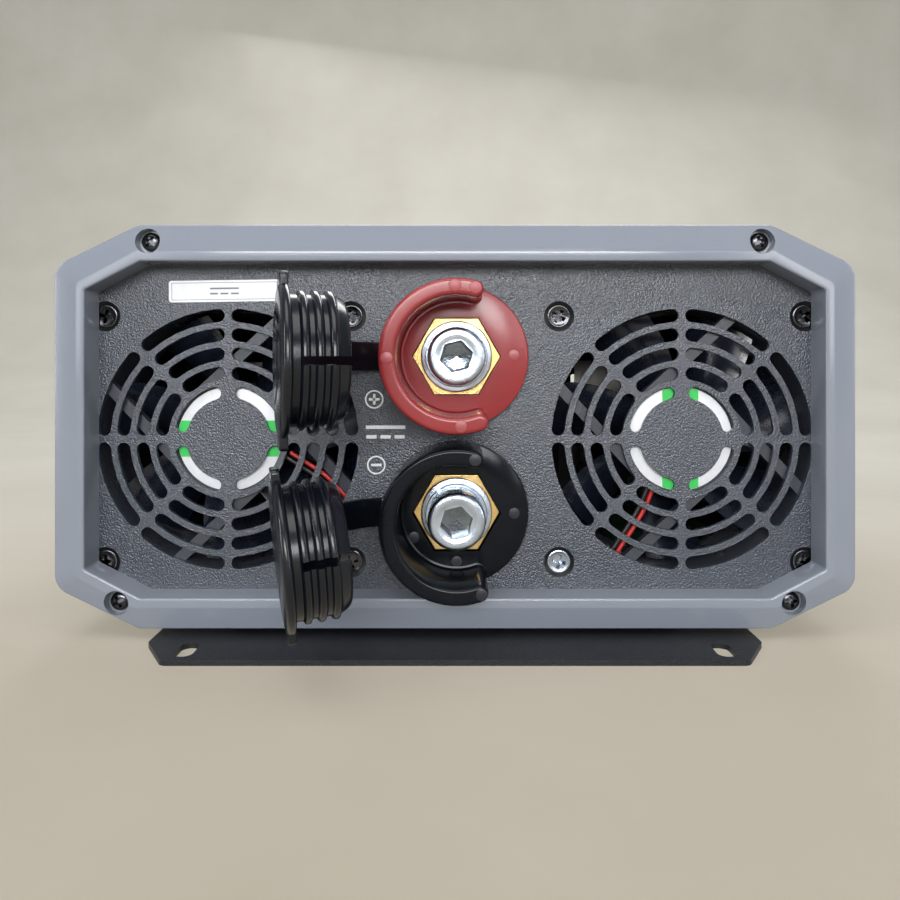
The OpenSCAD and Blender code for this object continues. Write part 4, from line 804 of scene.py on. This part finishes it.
# Panels, housing and brackets keep the CAD shape, with eased edges

for node, width, finish, slot in (
        ("dc_panel", 0.22, "panelCoat", "panel"), ("ac_panel", 0.2, "panelCoat", "panel"),
        ("upper_housing", 0.3, "caseAnodised", "housing"), ("lower_housing", 0.3, "caseAnodised", "housing"),
        ("front_bracket", 0.4, "bracketCoat", "bracket"), ("rear_bracket", 0.4, "bracketCoat", "bracket")):
    easedCopy(node, width, finish, "case", slot)

# The dimples round the fan screws get a near-black finish, painted shade: their slopes, and their flats up to a
# smaller radius
dimple = {"slopeR": 4.6, "flatR": 4.2, "below": 0.02}
sheet = bpy.data.objects["dcPanel"].data
sheet.materials.append(finishes["dimplePaintedShade"])
for face in sheet.polygons:
    x, y, z = (c * 1000 for c in face.center)
    near = min(math.hypot(x - sx, z - sz) for sx, sz in fanScrewSpots)
    if near < dimple["flatR"] or (near < dimple["slopeR"] and y > panelFace + dimple["below"]):
        face.material_index = 1
print("panels, housing and brackets eased")

# Printed marks on the DC panel, raised by a hair: a plus and a minus in rings and the direct-current sign

marks = {"height": 0.03, "line": 0.72, "span": 3.1, "ringR": 2.7, "ringLine": 0.42, "plus": (-23.5, 67.2),
         "minus": (-22.9, 48.1), "direct": (-20.2, 57.6), "directLine": 1.0,
         "directBars": ((0, 1.5, 11.5), (-4.1, -1.3, 3.0), (0, -1.3, 3.0), (4.1, -1.3, 3.0))}


def stroke(spot, w, h, out=marks["height"], base=0.0, r=0.15, tilt=0):
    return prism("stroke", roundedBox(w, h, min(r, w / 2.1, h / 2.1), 3, tilt), base, out, frontPlace(spot))


def makeMarks():
    m = marks
    ringIn = m["ringR"] - m["ringLine"]
    rim = [(m["ringR"], 0), (m["ringR"], m["height"]), (ringIn, m["height"]), (ringIn, 0)]
    parts = []
    for sign in ("plus", "minus"):
        parts.append(turned("ring", rim, 48, frontPlace(m[sign])))
        parts.append(stroke(m[sign], m["span"], m["line"]))
        if sign == "plus":
            parts.append(stroke(m[sign], m["line"], m["span"]))
    x, z = m["direct"]
    parts += [stroke((x + dx, z + dz), w, m["directLine"]) for dx, dz, w in m["directBars"]]
    dress(joined("panelMarks", parts), "printWhite", "case", slot="sticker")


makeMarks()

# The voltage label's printed border and its direct-current sign are bars: x, z, width and height of each
labelPlan = {
    "w": 32.4, "h": 6.3, "r": 0.8, "thick": 0.15, "tilt": 0.8, "raised": 0.02, "sunk": 0.05, "barR": 0.08,
    "bars": ((0, 2.45, 30.6, 0.16), (0, -2.45, 30.6, 0.16), (-15.3, 0, 0.16, 5.06), (15.3, 0, 0.16, 5.06),
             (0, 0.75, 8.4, 0.5), (-3.05, -0.75, 2.3, 0.5), (0, -0.75, 2.3, 0.5), (3.05, -0.75, 2.3, 0.5))}


def makeLabel():
    p = labelPlan
    spot = spotOf("voltage_label")
    plate = prism("label", roundedBox(p["w"], p["h"], p["r"], 5, p["tilt"]), 0, p["thick"], frontPlace(spot))
    dress(eased(plate, 0.05), "stickerWhite", "case", "voltage_label", slot="sticker")
    parts = []
    top, base = p["thick"] + p["raised"], p["thick"] - p["sunk"]
    for x, z, w, h in p["bars"]:
        [(dx, dz)] = spun([(x, z)], math.radians(p["tilt"]))
        parts.append(stroke((spot[0] + dx, spot[1] + dz), w, h, top, base, p["barR"], p["tilt"]))
    dress(joined("labelTicks", parts), "printDark", "case", slot="sticker")


makeLabel()
print("marks and label made")

# Fans

fanPlan = {"tipR": 37.3, "hubR": 16, "hubWall": 1.6, "shaftR": 1.5, "floor": 3, "blades": 7, "front": 20.9,
           "back": 1.5, "depth": 25, "sheet": 1.5}
bladePlan = {"low": 3.3, "rise": 15.4, "sunk": 0.6, "pitch": 48, "twist": 12, "lean": 6, "sweep": 10,
             "sweepPower": 1.6, "thick": 0.72, "edge": 0.12, "bow": 1.5, "rootShare": 0.92, "along": 9,
             "chord": 9}
fanLabelPlan = {"r": 15.2, "base": 24.5, "thick": 0.2, "bandR": 15.1, "bandHalf": 5.3, "bandSteps": 12}


# Fan frame's own place: z runs from its back to its face.
def fanPlace(spot):
    put = frontPlace(spot)
    return lambda q: put((q[0], q[1], q[2] - fanPlan["depth"] - fanPlan["sheet"]))


# One closed section of a blade at a share t of its length, from the hub out.
def bladeSection(t, number, put):
    p, b = fanPlan, bladePlan
    r = p["hubR"] - b["sunk"] + (p["tipR"] - p["hubR"] + b["sunk"]) * t
    pitch = math.radians(b["pitch"] - b["twist"] * t)
    lean = math.radians(b["lean"] + b["sweep"] * t ** b["sweepPower"])
    width = b["rootShare"] + (1 - b["rootShare"]) * t
    ring = []
    for s in (1, -1):
        for k in range(b["chord"]):
            c = s * (k / (b["chord"] - 1) - 0.5)
            thick = b["thick"] * math.sqrt(max(0.0, 1 - (2 * c) ** 2)) + b["edge"]
            out = s * thick + b["bow"] * (1 - 4 * c * c)
            across = -b["rise"] / math.tan(pitch) * c * width + out * math.sin(pitch)
            z = b["low"] + b["rise"] * (0.5 + c) + out * math.cos(pitch)
            a = across / r + lean + 2 * math.pi * number / p["blades"]
            ring.append(put((*polar(r, a), z)))
    return ring


def makeImpeller(side):
    p, r = fanPlan, fanPlan["hubR"]
    put = fanPlace(fanSpots[side])
    inside, back, front = r - p["hubWall"], p["back"], p["front"]
    hub = [(0, back), (r - 0.8, back), (r - 0.2, back + 0.25), (r, back + 0.9), (r, front - 0.4),
           (r - 0.4, front), (inside, front), (inside, p["floor"]), (p["shaftR"], p["floor"]),
           (p["shaftR"], front), (0, front)]
    parts = [turned("hub", hub, 72, put)]
    last = bladePlan["along"] - 1
    for number in range(p["blades"]):
        parts.append(lofted("blade", [bladeSection(i / last, number, put) for i in range(last + 1)]))
    dress(smooth(joined(side + "Impeller", parts), 40), "rotorPlastic", side + "_rotor", side + "_impeller",
          slot="rotor_plastic")


# A white disc with a green band across it, or up it.
def makeFanLabel(side, upright):
    p = fanLabelPlan
    put = fanPlace(fanSpots[side])
    base, top, r = p["base"], p["base"] + p["thick"], p["r"]
    disc = turned("disc", [(0, base), (r, base), (r, top - 0.05), (r - 0.1, top), (0, top)], 72, put)
    half = math.asin(p["bandHalf"] / p["bandR"])
    band = [polar(p["bandR"], half * (1 - 2 * i / p["bandSteps"])) for i in range(p["bandSteps"] + 1)]
    band += [(-x, -y) for x, y in band]
    if upright:
        band = [(-y, x) for x, y in band]
    stripe = prism("stripe", band, top - p["thick"] / 2, top + 0.02, put)
    parts = [dress(disc, "stickerWhite", None), dress(stripe, "stickerGreen", None)]
    dress(smooth(joined(side + "FanLabel", parts), 30), None, "case", side + "_fan_label", slot="sticker")


leadPlan = {"r": 0.68, "sides": 10, "up": (0.21, 1, 0.13)}
leadRoutes = {
    "left": {"spread": (0.7, 0.7, 0.3), "route": [
        (16.8, -4.9, 23), (22.6, -8.6, 22.8), (27.5, -12, 22.8), (32, -16.5, 22.8), (34.8, -19.8, 22.6),
        (38.6, -22.4, 21.8), (42.4, -24.4, 18), (43.4, -26, 8), (43, -30, -4), (42, -34.5, -14),
        (40, -36.8, -18)]},
    "right": {"spread": (0.75, -0.35, 0), "route": [
        (-8.6, -15.1, 23), (-10.6, -20, 22.8), (-13.4, -25, 22.8), (-17.6, -31.4, 22.8), (-20.4, -36, 22.2),
        (-21.8, -39.6, 19), (-22, -42.6, 14), (-22, -43.2, 4), (-21, -39.8, -8), (-20, -37, -15),
        (-20, -35.8, -19)]},
}


def makeLeads(side):
    plan = leadRoutes[side]
    put = fanPlace(fanSpots[side])
    wires = []
    for s, finish in ((1, "wireRed"), (-1, "wireBlack")):
        route = [tuple(q[i] + s * plan["spread"][i] for i in range(3)) for q in plan["route"]]
        path = [Vector(put(p)) for p in smoothPath(route, 5)]
        shape = circleShape(leadPlan["r"], leadPlan["sides"])
        wires.append(dress(swept("wire", path, lambda f: shape, Vector(leadPlan["up"])), finish, None))
    dress(smooth(joined(side + "FanLeads", wires), 50), None, "case", side + "_fan_leads", slot="wire")


for side, upright in (("left", False), ("right", True)):
    easedCopy(side + "_fan_frame", 0.3, "fanPlastic", "case", "fan_plastic")
    makeImpeller(side)
    makeFanLabel(side, upright)
    makeLeads(side)
print("fans made")

# Terminals: heights are above the DC panel's face

terminalPlan = {"dimpleR": 1.7, "collarTop": 23.0, "holeR": 5.3}
basePlan = {"rimR": 20.7, "neckR": 17.2, "neckH": 1.6, "floor": 3.0, "barrelR": 15.0, "barrelEnd": -16.0,
            "hexR": 12.82, "wall": 4.5, "from": 74.6, "to": 289.5, "steps": 72, "tipSteps": 14}
boltPlan = {"headR": 8.0, "headLow": 6.0, "headTop": 16.0, "knurls": 60, "knurlHalf": 0.26, "threadR": 4.95,
            "end": -14.0, "pitch": 1.5, "socketR": 4.62, "socketTurn": 14, "socketDeep": 5.2, "drillR": 4.0,
            "darkR": 4.7, "darkFrom": 0.3, "darkDeep": 6.5}
flatPlan = {"r": 10.2, "base": 1.5, "top": 3.5}
springPlan = {"r": 8.8, "base": 3.6, "thick": 1.75, "gap": 126, "halfGap": 4, "rise": 0.55, "steps": 90}


# A C-shaped outline: the outer and inner arcs are joined by round tips.
def collarLoop(outer, inner):
    b = basePlan
    centreR, tipR = (outer + inner) / 2, (outer - inner) / 2
    span, arc = b["to"] - b["from"], range(b["steps"] + 1)
    out = [polar(outer, math.radians(b["from"] + span * k / b["steps"])) for k in arc]
    for end, start in ((b["to"], 0), (b["from"], math.pi)):
        a = math.radians(end)
        x0, y0 = polar(centreR, a)
        for k in range(1, b["tipSteps"]):
            x, y = polar(tipR, a + math.pi * k / b["tipSteps"] + start)
            out.append((x0 + x, y0 + y))
        if end == b["to"]:
            out += [polar(inner, math.radians(b["to"] - span * k / b["steps"])) for k in arc]
    return out


# The dimples on the collar's top and on the floor are small pits with a paler pad in each.
def makeBase(side, finish, mark, slot, dimples, floorDimples):
    put = frontPlace(terminalSpots[side])
    b, top = basePlan, terminalPlan["collarTop"]
    rim, barrel, neck, floor = b["rimR"], b["barrelR"], b["neckR"], b["floor"]
    end, under = b["barrelEnd"], b["neckH"]
    profile = [(0, end), (barrel - 0.5, end), (barrel, end + 0.5), (barrel, 0), (neck, 0), (neck, under),
               (rim - 0.25, under), (rim, under + 0.25), (rim, floor - 0.45), (rim - 0.12, floor - 0.15),
               (rim - 0.45, floor), (0, floor)]
    disc = turned("disc", profile, 144, put)
    cut(disc, prism("bore", hexagon(b["hexR"]), end - 1, floor + 1, put))
    rings = [(0.5, 0.9, floor - 0.3), (0.1, 0.9, floor + 0.05), (0.02, 0.42, floor + 0.22),
             (0.0, 0.14, floor + 0.6), (0.0, 0.0, floor + 1.2), (0.0, 0.0, top - 1.3), (0.07, -0.07, top - 0.8),
             (0.25, -0.25, top - 0.36), (0.52, -0.52, top - 0.12), (0.9, -0.9, top - 0.02), (1.25, -1.25, top)]
    points = [put((x, y, height)) for outerIn, innerIn, height in rings
              for x, y in collarLoop(rim - outerIn, rim - b["wall"] - innerIn)]
    n = len(points) // len(rings)
    arc = b["steps"]
    last = len(points) - n
    inside = arc + b["tipSteps"]                # where the inner arc starts, in reverse
    faces = sideFaces(len(rings), n)
    across = last + inside + arc                # the inner arc's end, beside the outer arc's start
    faces += [(last + k, last + k + 1, across - k - 1, across - k) for k in range(arc)]
    faces.append(tuple(last + k for k in range(arc, inside + 1)))
    faces.append(tuple([across + k for k in range(b["tipSteps"])] + [last]))
    collar = newMesh("collar", points, faces)
    spots = [(collar, top, spot) for spot in dimples] + [(disc, floor, spot) for spot in floorDimples]
    r = terminalPlan["dimpleR"]
    for whole, height, spot in spots:
        pit = [(0, height - 0.14), (r - 0.1, height - 0.14), (r, height + 0.2), (0, height + 0.2)]
        cut(whole, turned("pit", pit, 32, shifted(put, *spot)))
    parts = [dress(disc, finish, None), dress(collar, finish, None)]
    r -= 0.12
    for _, height, spot in spots:
        pad = [(0, height - 0.3), (r, height - 0.3), (r, height - 0.1), (r - 0.15, height - 0.04),
               (0, height - 0.07)]
        parts.append(dress(turned("pad", pad, 32, shifted(put, *spot)), mark, None))
    dress(smooth(joined(side + "Terminal", parts), 34), None, "case", side + "_base", slot=slot)


makeBase("positive", "redNylon", "redMark", "red_nylon",
         [(-0.4, 18.7), (5.0, 18.1), (-18.4, -0.4), (1.2, -18.4)], [(16.6, 0.4)])
makeBase("negative", "blackNylon", "blackMark", "black_nylon",
         [(4.9, 17.8), (6.6, -17.6)], [(16.6, -0.1), (-12.2, -7.0), (0.1, -14.0)])


# A screwed rod: the surface follows one helix, and the start has no thread.
def threaded(name, radius, start, end, pitch, put, steps=36):
    rows = int((end - start) / pitch * 8)
    rings = []
    for i in range(rows + 1):
        z = start + (end - start) * i / rows
        ring = []
        for k in range(steps):
            tooth = abs(2 * ((z / pitch - k / steps) % 1) - 1)
            depth = 0.42 * tooth if (z - start) / pitch > 0.2 else 0.3
            ring.append(put((*polar(radius - depth * pitch, 2 * math.pi * k / steps), z)))
        rings.append(ring)
    return lofted(name, rings)


def makeBolt(side):
    p, spot = boltPlan, terminalSpots[side]
    put = frontPlace(spot)
    base, top, r = p["headLow"], p["headTop"], p["headR"]
    profile = [(0, base), (r - 0.5, base), (r - 0.06, base + 0.45), (r - 0.06, top - 1.0),
               (r - 0.35, top - 0.45), (r - 0.9, top - 0.08), (r - 1.3, top), (5.3, top), (5.0, top - 0.12),
               (0, top - 0.12)]
    head = turned("head", profile, 96, put)
    bottom = top - p["socketDeep"]
    cut(head, prism("socket", hexagon(p["socketR"], p["socketTurn"]), bottom, top + 1, put))
    drill = [(0, bottom - 0.7), (0.01, bottom - 0.7), (p["drillR"], bottom + 0.2),
             (p["drillR"], bottom + 0.3), (0, bottom + 0.3)]
    cut(head, turned("drillPoint", drill, 32, put))
    w = p["knurlHalf"]
    tooth = [(r - 0.3, -w), (r - 0.02, -w * 0.35), (r - 0.02, w * 0.35), (r - 0.3, w)]
    knurls = [prism("knurl", spun(tooth, 2 * math.pi * k / p["knurls"]), base + 0.7, top - 1.1, put)
              for k in range(p["knurls"])]
    shank = threaded("shank", p["threadR"], p["end"], base + 0.2, p["pitch"], put)
    whole = smooth(joined(side + "Bolt", [head, shank] + knurls), 30)
    dress(whole, turnedMetals[side][0], side + "_bolt", side + "_bolt", slot="steel")
    # The socket's walls and floor take a darker zinc finish: painted shade in the recess
    whole.data.materials.append(finishes["socketPaintedShade"])
    mouth = panelFace - top + p["darkFrom"]
    for face in whole.data.polygons:            # the socket's walls and floor are darker
        x, y, z = (c * 1000 for c in face.center)
        if math.hypot(x - spot[0], z - spot[1]) < p["darkR"] and mouth < y < mouth + p["darkDeep"]:
            face.material_index = 1


def makeSpringWasher(side):
    p, hole, r, thick = springPlan, terminalPlan["holeR"], springPlan["r"], springPlan["thick"]
    put = frontPlace(terminalSpots[side])
    section = [(hole, 0), (r - 0.12, 0), (r, 0.15), (r, thick - 0.2), (r - 0.2, thick), (hole, thick)]
    rings = []
    for i in range(p["steps"] + 1):
        f = i / p["steps"]
        a = math.radians(p["gap"] + p["halfGap"] + (360 - 2 * p["halfGap"]) * f)
        rings.append([put((*polar(x, a), p["base"] + p["rise"] * f + z)) for x, z in section])
    piece = smooth(lofted(side + "SpringWasher", rings), 30)
    dress(piece, "zincPlate", side + "_washers", side + "_spring_washer", slot="steel")


def makeFlatWasher(side):
    r, base, top, hole = flatPlan["r"], flatPlan["base"], flatPlan["top"], terminalPlan["holeR"]
    profile = [(hole, base + 0.05), (hole + 0.1, base), (r - 0.5, base), (r - 0.12, base + 0.12),
               (r, base + 0.45), (r, top - 0.5), (r - 0.2, top - 0.15), (r - 0.6, top), (hole + 0.2, top),
               (hole, top - 0.15)]
    piece = smooth(turned(side + "FlatWasher", profile, 96, frontPlace(terminalSpots[side])), 30)
    dress(piece, turnedMetals[side][0], side + "_washers", side + "_flat_washer", slot="steel")


for side in ("positive", "negative"):
    makeBolt(side)
    makeSpringWasher(side)
    makeFlatWasher(side)
    easedCopy(side + "_post", 0.35, turnedMetals[side][1], "case", "brass", 3)
    easedCopy(side + "_busbar", 0.25, "copperBar", "case", "copper")
easedCopy("terminal_nuts", 0.4, "nutPlastic", "case", "dark_nut")
print("terminals made")

# Caps and their straps: heights are from the lid's inner face, which faces the collar when a cap is on

capPlan = {"lidR": 18.3, "lidT": 2.3, "plugR": 16.5, "plugL": 13.0, "noseR": 14.0, "boreR": 13.0,
           "ridge": 0.9, "ridgePitch": 3.2, "ridges": 3, "slit": 2.0, "slitFrom": 11.6, "tabW": 8.0,
           "tabFrom": 12, "swing": 74.0, "centre": (-39.141, -35.972)}
capWays = {"positive": {"z": terminalSpots["positive"][1] - 1.0, "roll": 0.0, "tabs": (20.9, 20.6)},
           "negative": {"z": terminalSpots["negative"][1] - 1.0, "roll": -6.0, "tabs": (20.3, 20.2)}}


def capPlace(side):
    way = capWays[side]
    m = Matrix.Translation(Vector((*capPlan["centre"], way["z"])))
    for angle, axis in ((way["roll"], "Y"), (-capPlan["swing"], "Z"), (90, "X")):
        m = m @ Matrix.Rotation(math.radians(angle), 4, axis)
    return lambda q: tuple(m @ Vector(q))


def makeCap(side):
    p = capPlan
    put = capPlace(side)
    lid, lidR, plug, nose, bore, end = p["lidT"], p["lidR"], p["plugR"], p["noseR"], p["boreR"], -p["plugL"]
    valley = plug - p["ridge"]
    profile = [(0, lid + 0.66), (6, lid + 0.62), (9.4, lid + 0.56), (9.8, lid + 0.3), (10.4, lid + 0.3),
               (10.8, lid + 0.5), (14.5, lid + 0.3), (16.6, lid + 0.1), (17.5, lid - 0.15),
               (18.05, lid - 0.6), (lidR, lid - 1.2), (lidR, 0.9), (18.1, 0.4), (17.6, 0.08), (17.0, 0.0),
               (16.0, 0.0), (valley, -0.25)]
    for i in range(p["ridges"]):
        z = -2 - i * p["ridgePitch"]
        profile += [(valley, z + 0.25), (valley + 0.3, z + 0.05), (plug - 0.12, z - 0.25), (plug, z - 0.55),
                    (plug, z - 1.2), (plug - 0.2, z - 1.55), (valley + 0.25, z - 1.75), (valley, z - 2.0)]
    profile += [(15.3, z - 2.4), (14.6, end + 0.8), (nose, end + 0.15), (nose - 0.3, end), (12.5, end),
                (12.3, end + 0.4), (bore - 0.05, -9.4), (bore, -8.6), (bore, -0.6), (bore - 0.6, 0.0),
                (0, 0.0)]
    cap = turned("cap", profile, 120, put)
    start, half = p["slitFrom"], p["slit"] / 2
    for a in (0, math.pi):
        box = spun([(start, -half), (18, -half), (18, half), (start, half)], a)
        cut(cap, prism("slit", box, end - 1, -2.2, put))
    parts = [smooth(cap, 32)]
    for way, reach in zip((-1, 1), capWays[side]["tabs"]):
        length = reach - p["tabFrom"]
        outline = [(x, way * (p["tabFrom"] + length / 2) + y) for x, y in roundedBox(p["tabW"], length, 1.2)]
        parts.append(eased(prism("ear", outline[::way], 0.02, lid - 0.25, put), 0.45, 3))
    whole = smooth(joined(side + "Cap", parts), 32)
    dress(whole, "capRubber", side + "_cap", side + "_cap", slot="cap_rubber")


# The strap's line is (x, distance in front of the panel).
strapPlan = {"w": 8.3, "t": 1.8, "grooveT": 1.42, "groove": 0.10, "lidEnd": 0.88, "bend": (17, -6),
             "line": [(-17.6, 0.81), (-19.4, 0.81), (-20.6, 0.86), (-21.8, 1.05), (-25, 2.4), (-28.6, 5.2),
                      (-33, 10.4), (-37.95, 17.6), (-41.94, 22.8), (-44.6, 27.6)],
             "ring": [(17.25, 0.1), (20.2, 0.1), (20.45, 0.35), (20.45, 1.25), (20.2, 1.5), (17.25, 1.5)]}


def makeStrap(side):
    p = strapPlan
    spot = terminalSpots[side]
    path = smoothPath([(x, panelFace - out, spot[1]) for x, out in p["line"]])

    def shape(f):
        atLid = min(1.0, max(0.0, (f - p["lidEnd"]) / (1 - p["lidEnd"])))
        thick = p["grooveT"] if f < p["groove"] else p["t"] * (1 + 0.25 * atLid)
        return [(y, x) for x, y in roundedBox(p["w"] * (1 + 0.2 * atLid), thick, 0.55, 3)]

    band = smooth(swept(side + "Strap", path, shape, Vector((0, 0, 1))), 50)
    dress(band, "capRubber", None, side + "_strap", slot="cap_rubber")
    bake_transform(band)
    ring = turned(side + "StrapRing", p["ring"], 72, frontPlace(spot))
    dress(smooth(ring, 40), "capRubber", "case", slot="cap_rubber")


for side in ("positive", "negative"):
    makeCap(side)
    makeStrap(side)
print("caps made")

# AC end and the inside: CAD shapes with eased edges

for row in (("left_outlet", 0.35, "outletPlastic", "case", "outlet"),
            ("right_outlet", 0.35, "outletPlastic", "case", "outlet"),
            ("switch_housing", 0.3, "switchPlastic", "case", "switch"),
            ("switch_rocker", 0.5, "switchPlastic", "rocker", "switch"),
            ("breaker_body", 0.3, "switchPlastic", "case", "switch"),
            ("breaker_button", 0.3, "redButton", "breaker_button", "red_button"),
            ("indicator_lights", 0.15, "lampGreen", "case", "lamp"),
            ("remote_jack", 0.25, "switchPlastic", "case", "switch"),
            ("ground_washer", 0.15, "zincPlate", "ground_washer", "steel"),
            ("ground_nut", 0.35, "standoffBrass", "ground_nut", "brass"),
            ("main_board", 0.1, "boardGreen", "case", "circuit_board"),
            ("control_board", 0.15, "boardGreen", "case", "circuit_board"),
            ("board_mounts", 0.2, "standoffBrass", "case", "standoff"),
            ("input_capacitors", 0.3, "sleeveBlue", "case", "sleeve"),
            ("high_voltage_capacitors", 0.4, "sleeveDark", "case", "dark_sleeve"),
            ("left_transformer", 0.5, "ferrite", "case", "ferrite"),
            ("right_transformer", 0.5, "ferrite", "case", "ferrite"),
            ("left_heat_sink", 0.25, "sinkMill", "case", "heat_sink"),
            ("right_heat_sink", 0.25, "sinkMill", "case", "heat_sink"),
            ("transistors", 0.15, "epoxyBlack", "case", "epoxy")):
    easedCopy(*row)

studPlan = {"spot": (88, 27), "rodR": 3.0, "pitch": 1.0, "start": -1.5, "end": 15.0, "footR": 5.77,
            "footFrom": -5.5}
chokePlan = {"ringR": 17, "wireAt": 8.1, "wireR": 0.85, "coreR": 7.4, "turns": 44, "rounds": 28, "sides": 10,
             "height": 9, "footR": 12, "footT": 1.8}


def makeStud():
    p = studPlan
    x, z = p["spot"]
    put = lambda q: (x - q[0], acFace + q[2], z + q[1])
    rod = smooth(threaded("rod", p["rodR"], p["start"], p["end"], p["pitch"], put, 28), 30)
    foot = eased(prism("foot", hexagon(p["footR"]), p["footFrom"], p["start"], put), 0.3)
    dress(smooth(joined("groundStud", [rod, foot]), 30), "standoffBrass", "case", "ground_stud", slot="brass")


def makeChoke():
    p = chokePlan
    put = shifted(tuple, 0.0, middle("output_choke", 1), low("output_choke", 2) + p["height"])
    up, section = Vector((0, 0, 1)), circleShape(1, p["sides"])
    parts = []
    for k in range(p["turns"]):
        rings = []
        for i in range(p["rounds"]):
            b = 2 * math.pi * i / p["rounds"]
            a = 2 * math.pi * k / p["turns"] + math.pi / p["turns"] * math.sin(b / 2)
            radial = Vector((*polar(1, a), 0))
            out = radial * math.cos(b) + up * math.sin(b)
            spine = radial * (p["ringR"] + p["wireAt"] * math.cos(b)) + up * (p["wireAt"] * math.sin(b))
            side = Vector((-radial.y, radial.x, 0))
            rings.append([put(spine + (out * x + side * y) * p["wireR"]) for x, y in section])
        parts.append(dress(lofted("turn", rings, closed=True), "enamelWire", None))
    core = [(p["ringR"] + x, z) for x, z in circleShape(p["coreR"], 24)]
    base = -p["height"]
    foot = [(0, base), (p["footR"], base), (p["footR"], base + p["footT"]), (0, base + p["footT"])]
    for profile, steps in ((core, 64), (foot, 40)):
        parts.append(dress(turned("core", profile, steps, put), "ferrite", None))
    dress(smooth(joined("outputChoke", parts), 50), None, "case", "output_choke", slot="winding")


# The earth sign beside the ground stud, as bars (x, z, width, height), and the rocker's line and ring
earthSign = {"place": (-74, 26.5), "r": 0.12, "height": 0.03,
             "bars": ((0, 1.7, 0.6, 2.4), (0, 0.3, 5.2, 0.6), (0, -0.9, 3.4, 0.6), (0, -2.1, 1.6, 0.6))}
rockerSigns = {"away": 0.27, "line": (0.35, 1.7), "ring": (1.75, 1.15), "ringSteps": 40, "lift": 0.05,
               "sunk": 0.15}


def makeSigns():
    x0, z0 = earthSign["place"]
    strokes = []
    for x, z, w, h in earthSign["bars"]:
        outline = roundedBox(w, h, earthSign["r"], 3)
        strokes.append(prism("stroke", outline, 0, earthSign["height"], backPlace((x0 + x, z0 + z))))
    dress(joined("acPanelMarks", strokes), "printWhite", "case", slot="sticker")

    mesh = nodes["switch_rocker"].data
    surface = BVHTree.FromPolygons([v.co for v in mesh.vertices], [tuple(f.vertices) for f in mesh.polygons])
    x0, z0 = spotOf("switch_rocker")
    p = rockerSigns
    reach = p["away"] * (high("switch_rocker", 2) - low("switch_rocker", 2))

    # A point over or under the rocker's curved face.
    def onRocker(spot, out):
        hit = surface.ray_cast(Vector((spot[0], 600, spot[1])) / 1000, Vector((0, -1, 0)))[0]
        return (spot[0], hit.y * 1000 + out, spot[1])

    half, tall = p["line"]
    rows = [z0 + reach - tall + tall * k / 4 for k in range(9)]
    line = [((x0 - half, z), (x0 + half, z)) for z in rows]
    ring = []
    for k in range(p["ringSteps"]):
        ways = (polar(r, 2 * math.pi * k / p["ringSteps"]) for r in p["ring"])
        ring.append([(x0 + x, z0 - reach + z) for x, z in ways])
    parts = []
    up, down = p["lift"], -p["sunk"]
    for pairs, closed in ((line, False), (ring, True)):
        rings = [[onRocker(a, up), onRocker(b, up), onRocker(b, down), onRocker(a, down)] for a, b in pairs]
        parts.append(lofted("sign", rings, closed))
    dress(joined("rockerMarks", parts), "printWhite", "rocker", slot="sticker")


makeStud()
makeSigns()
makeChoke()
print("AC end and inside made")
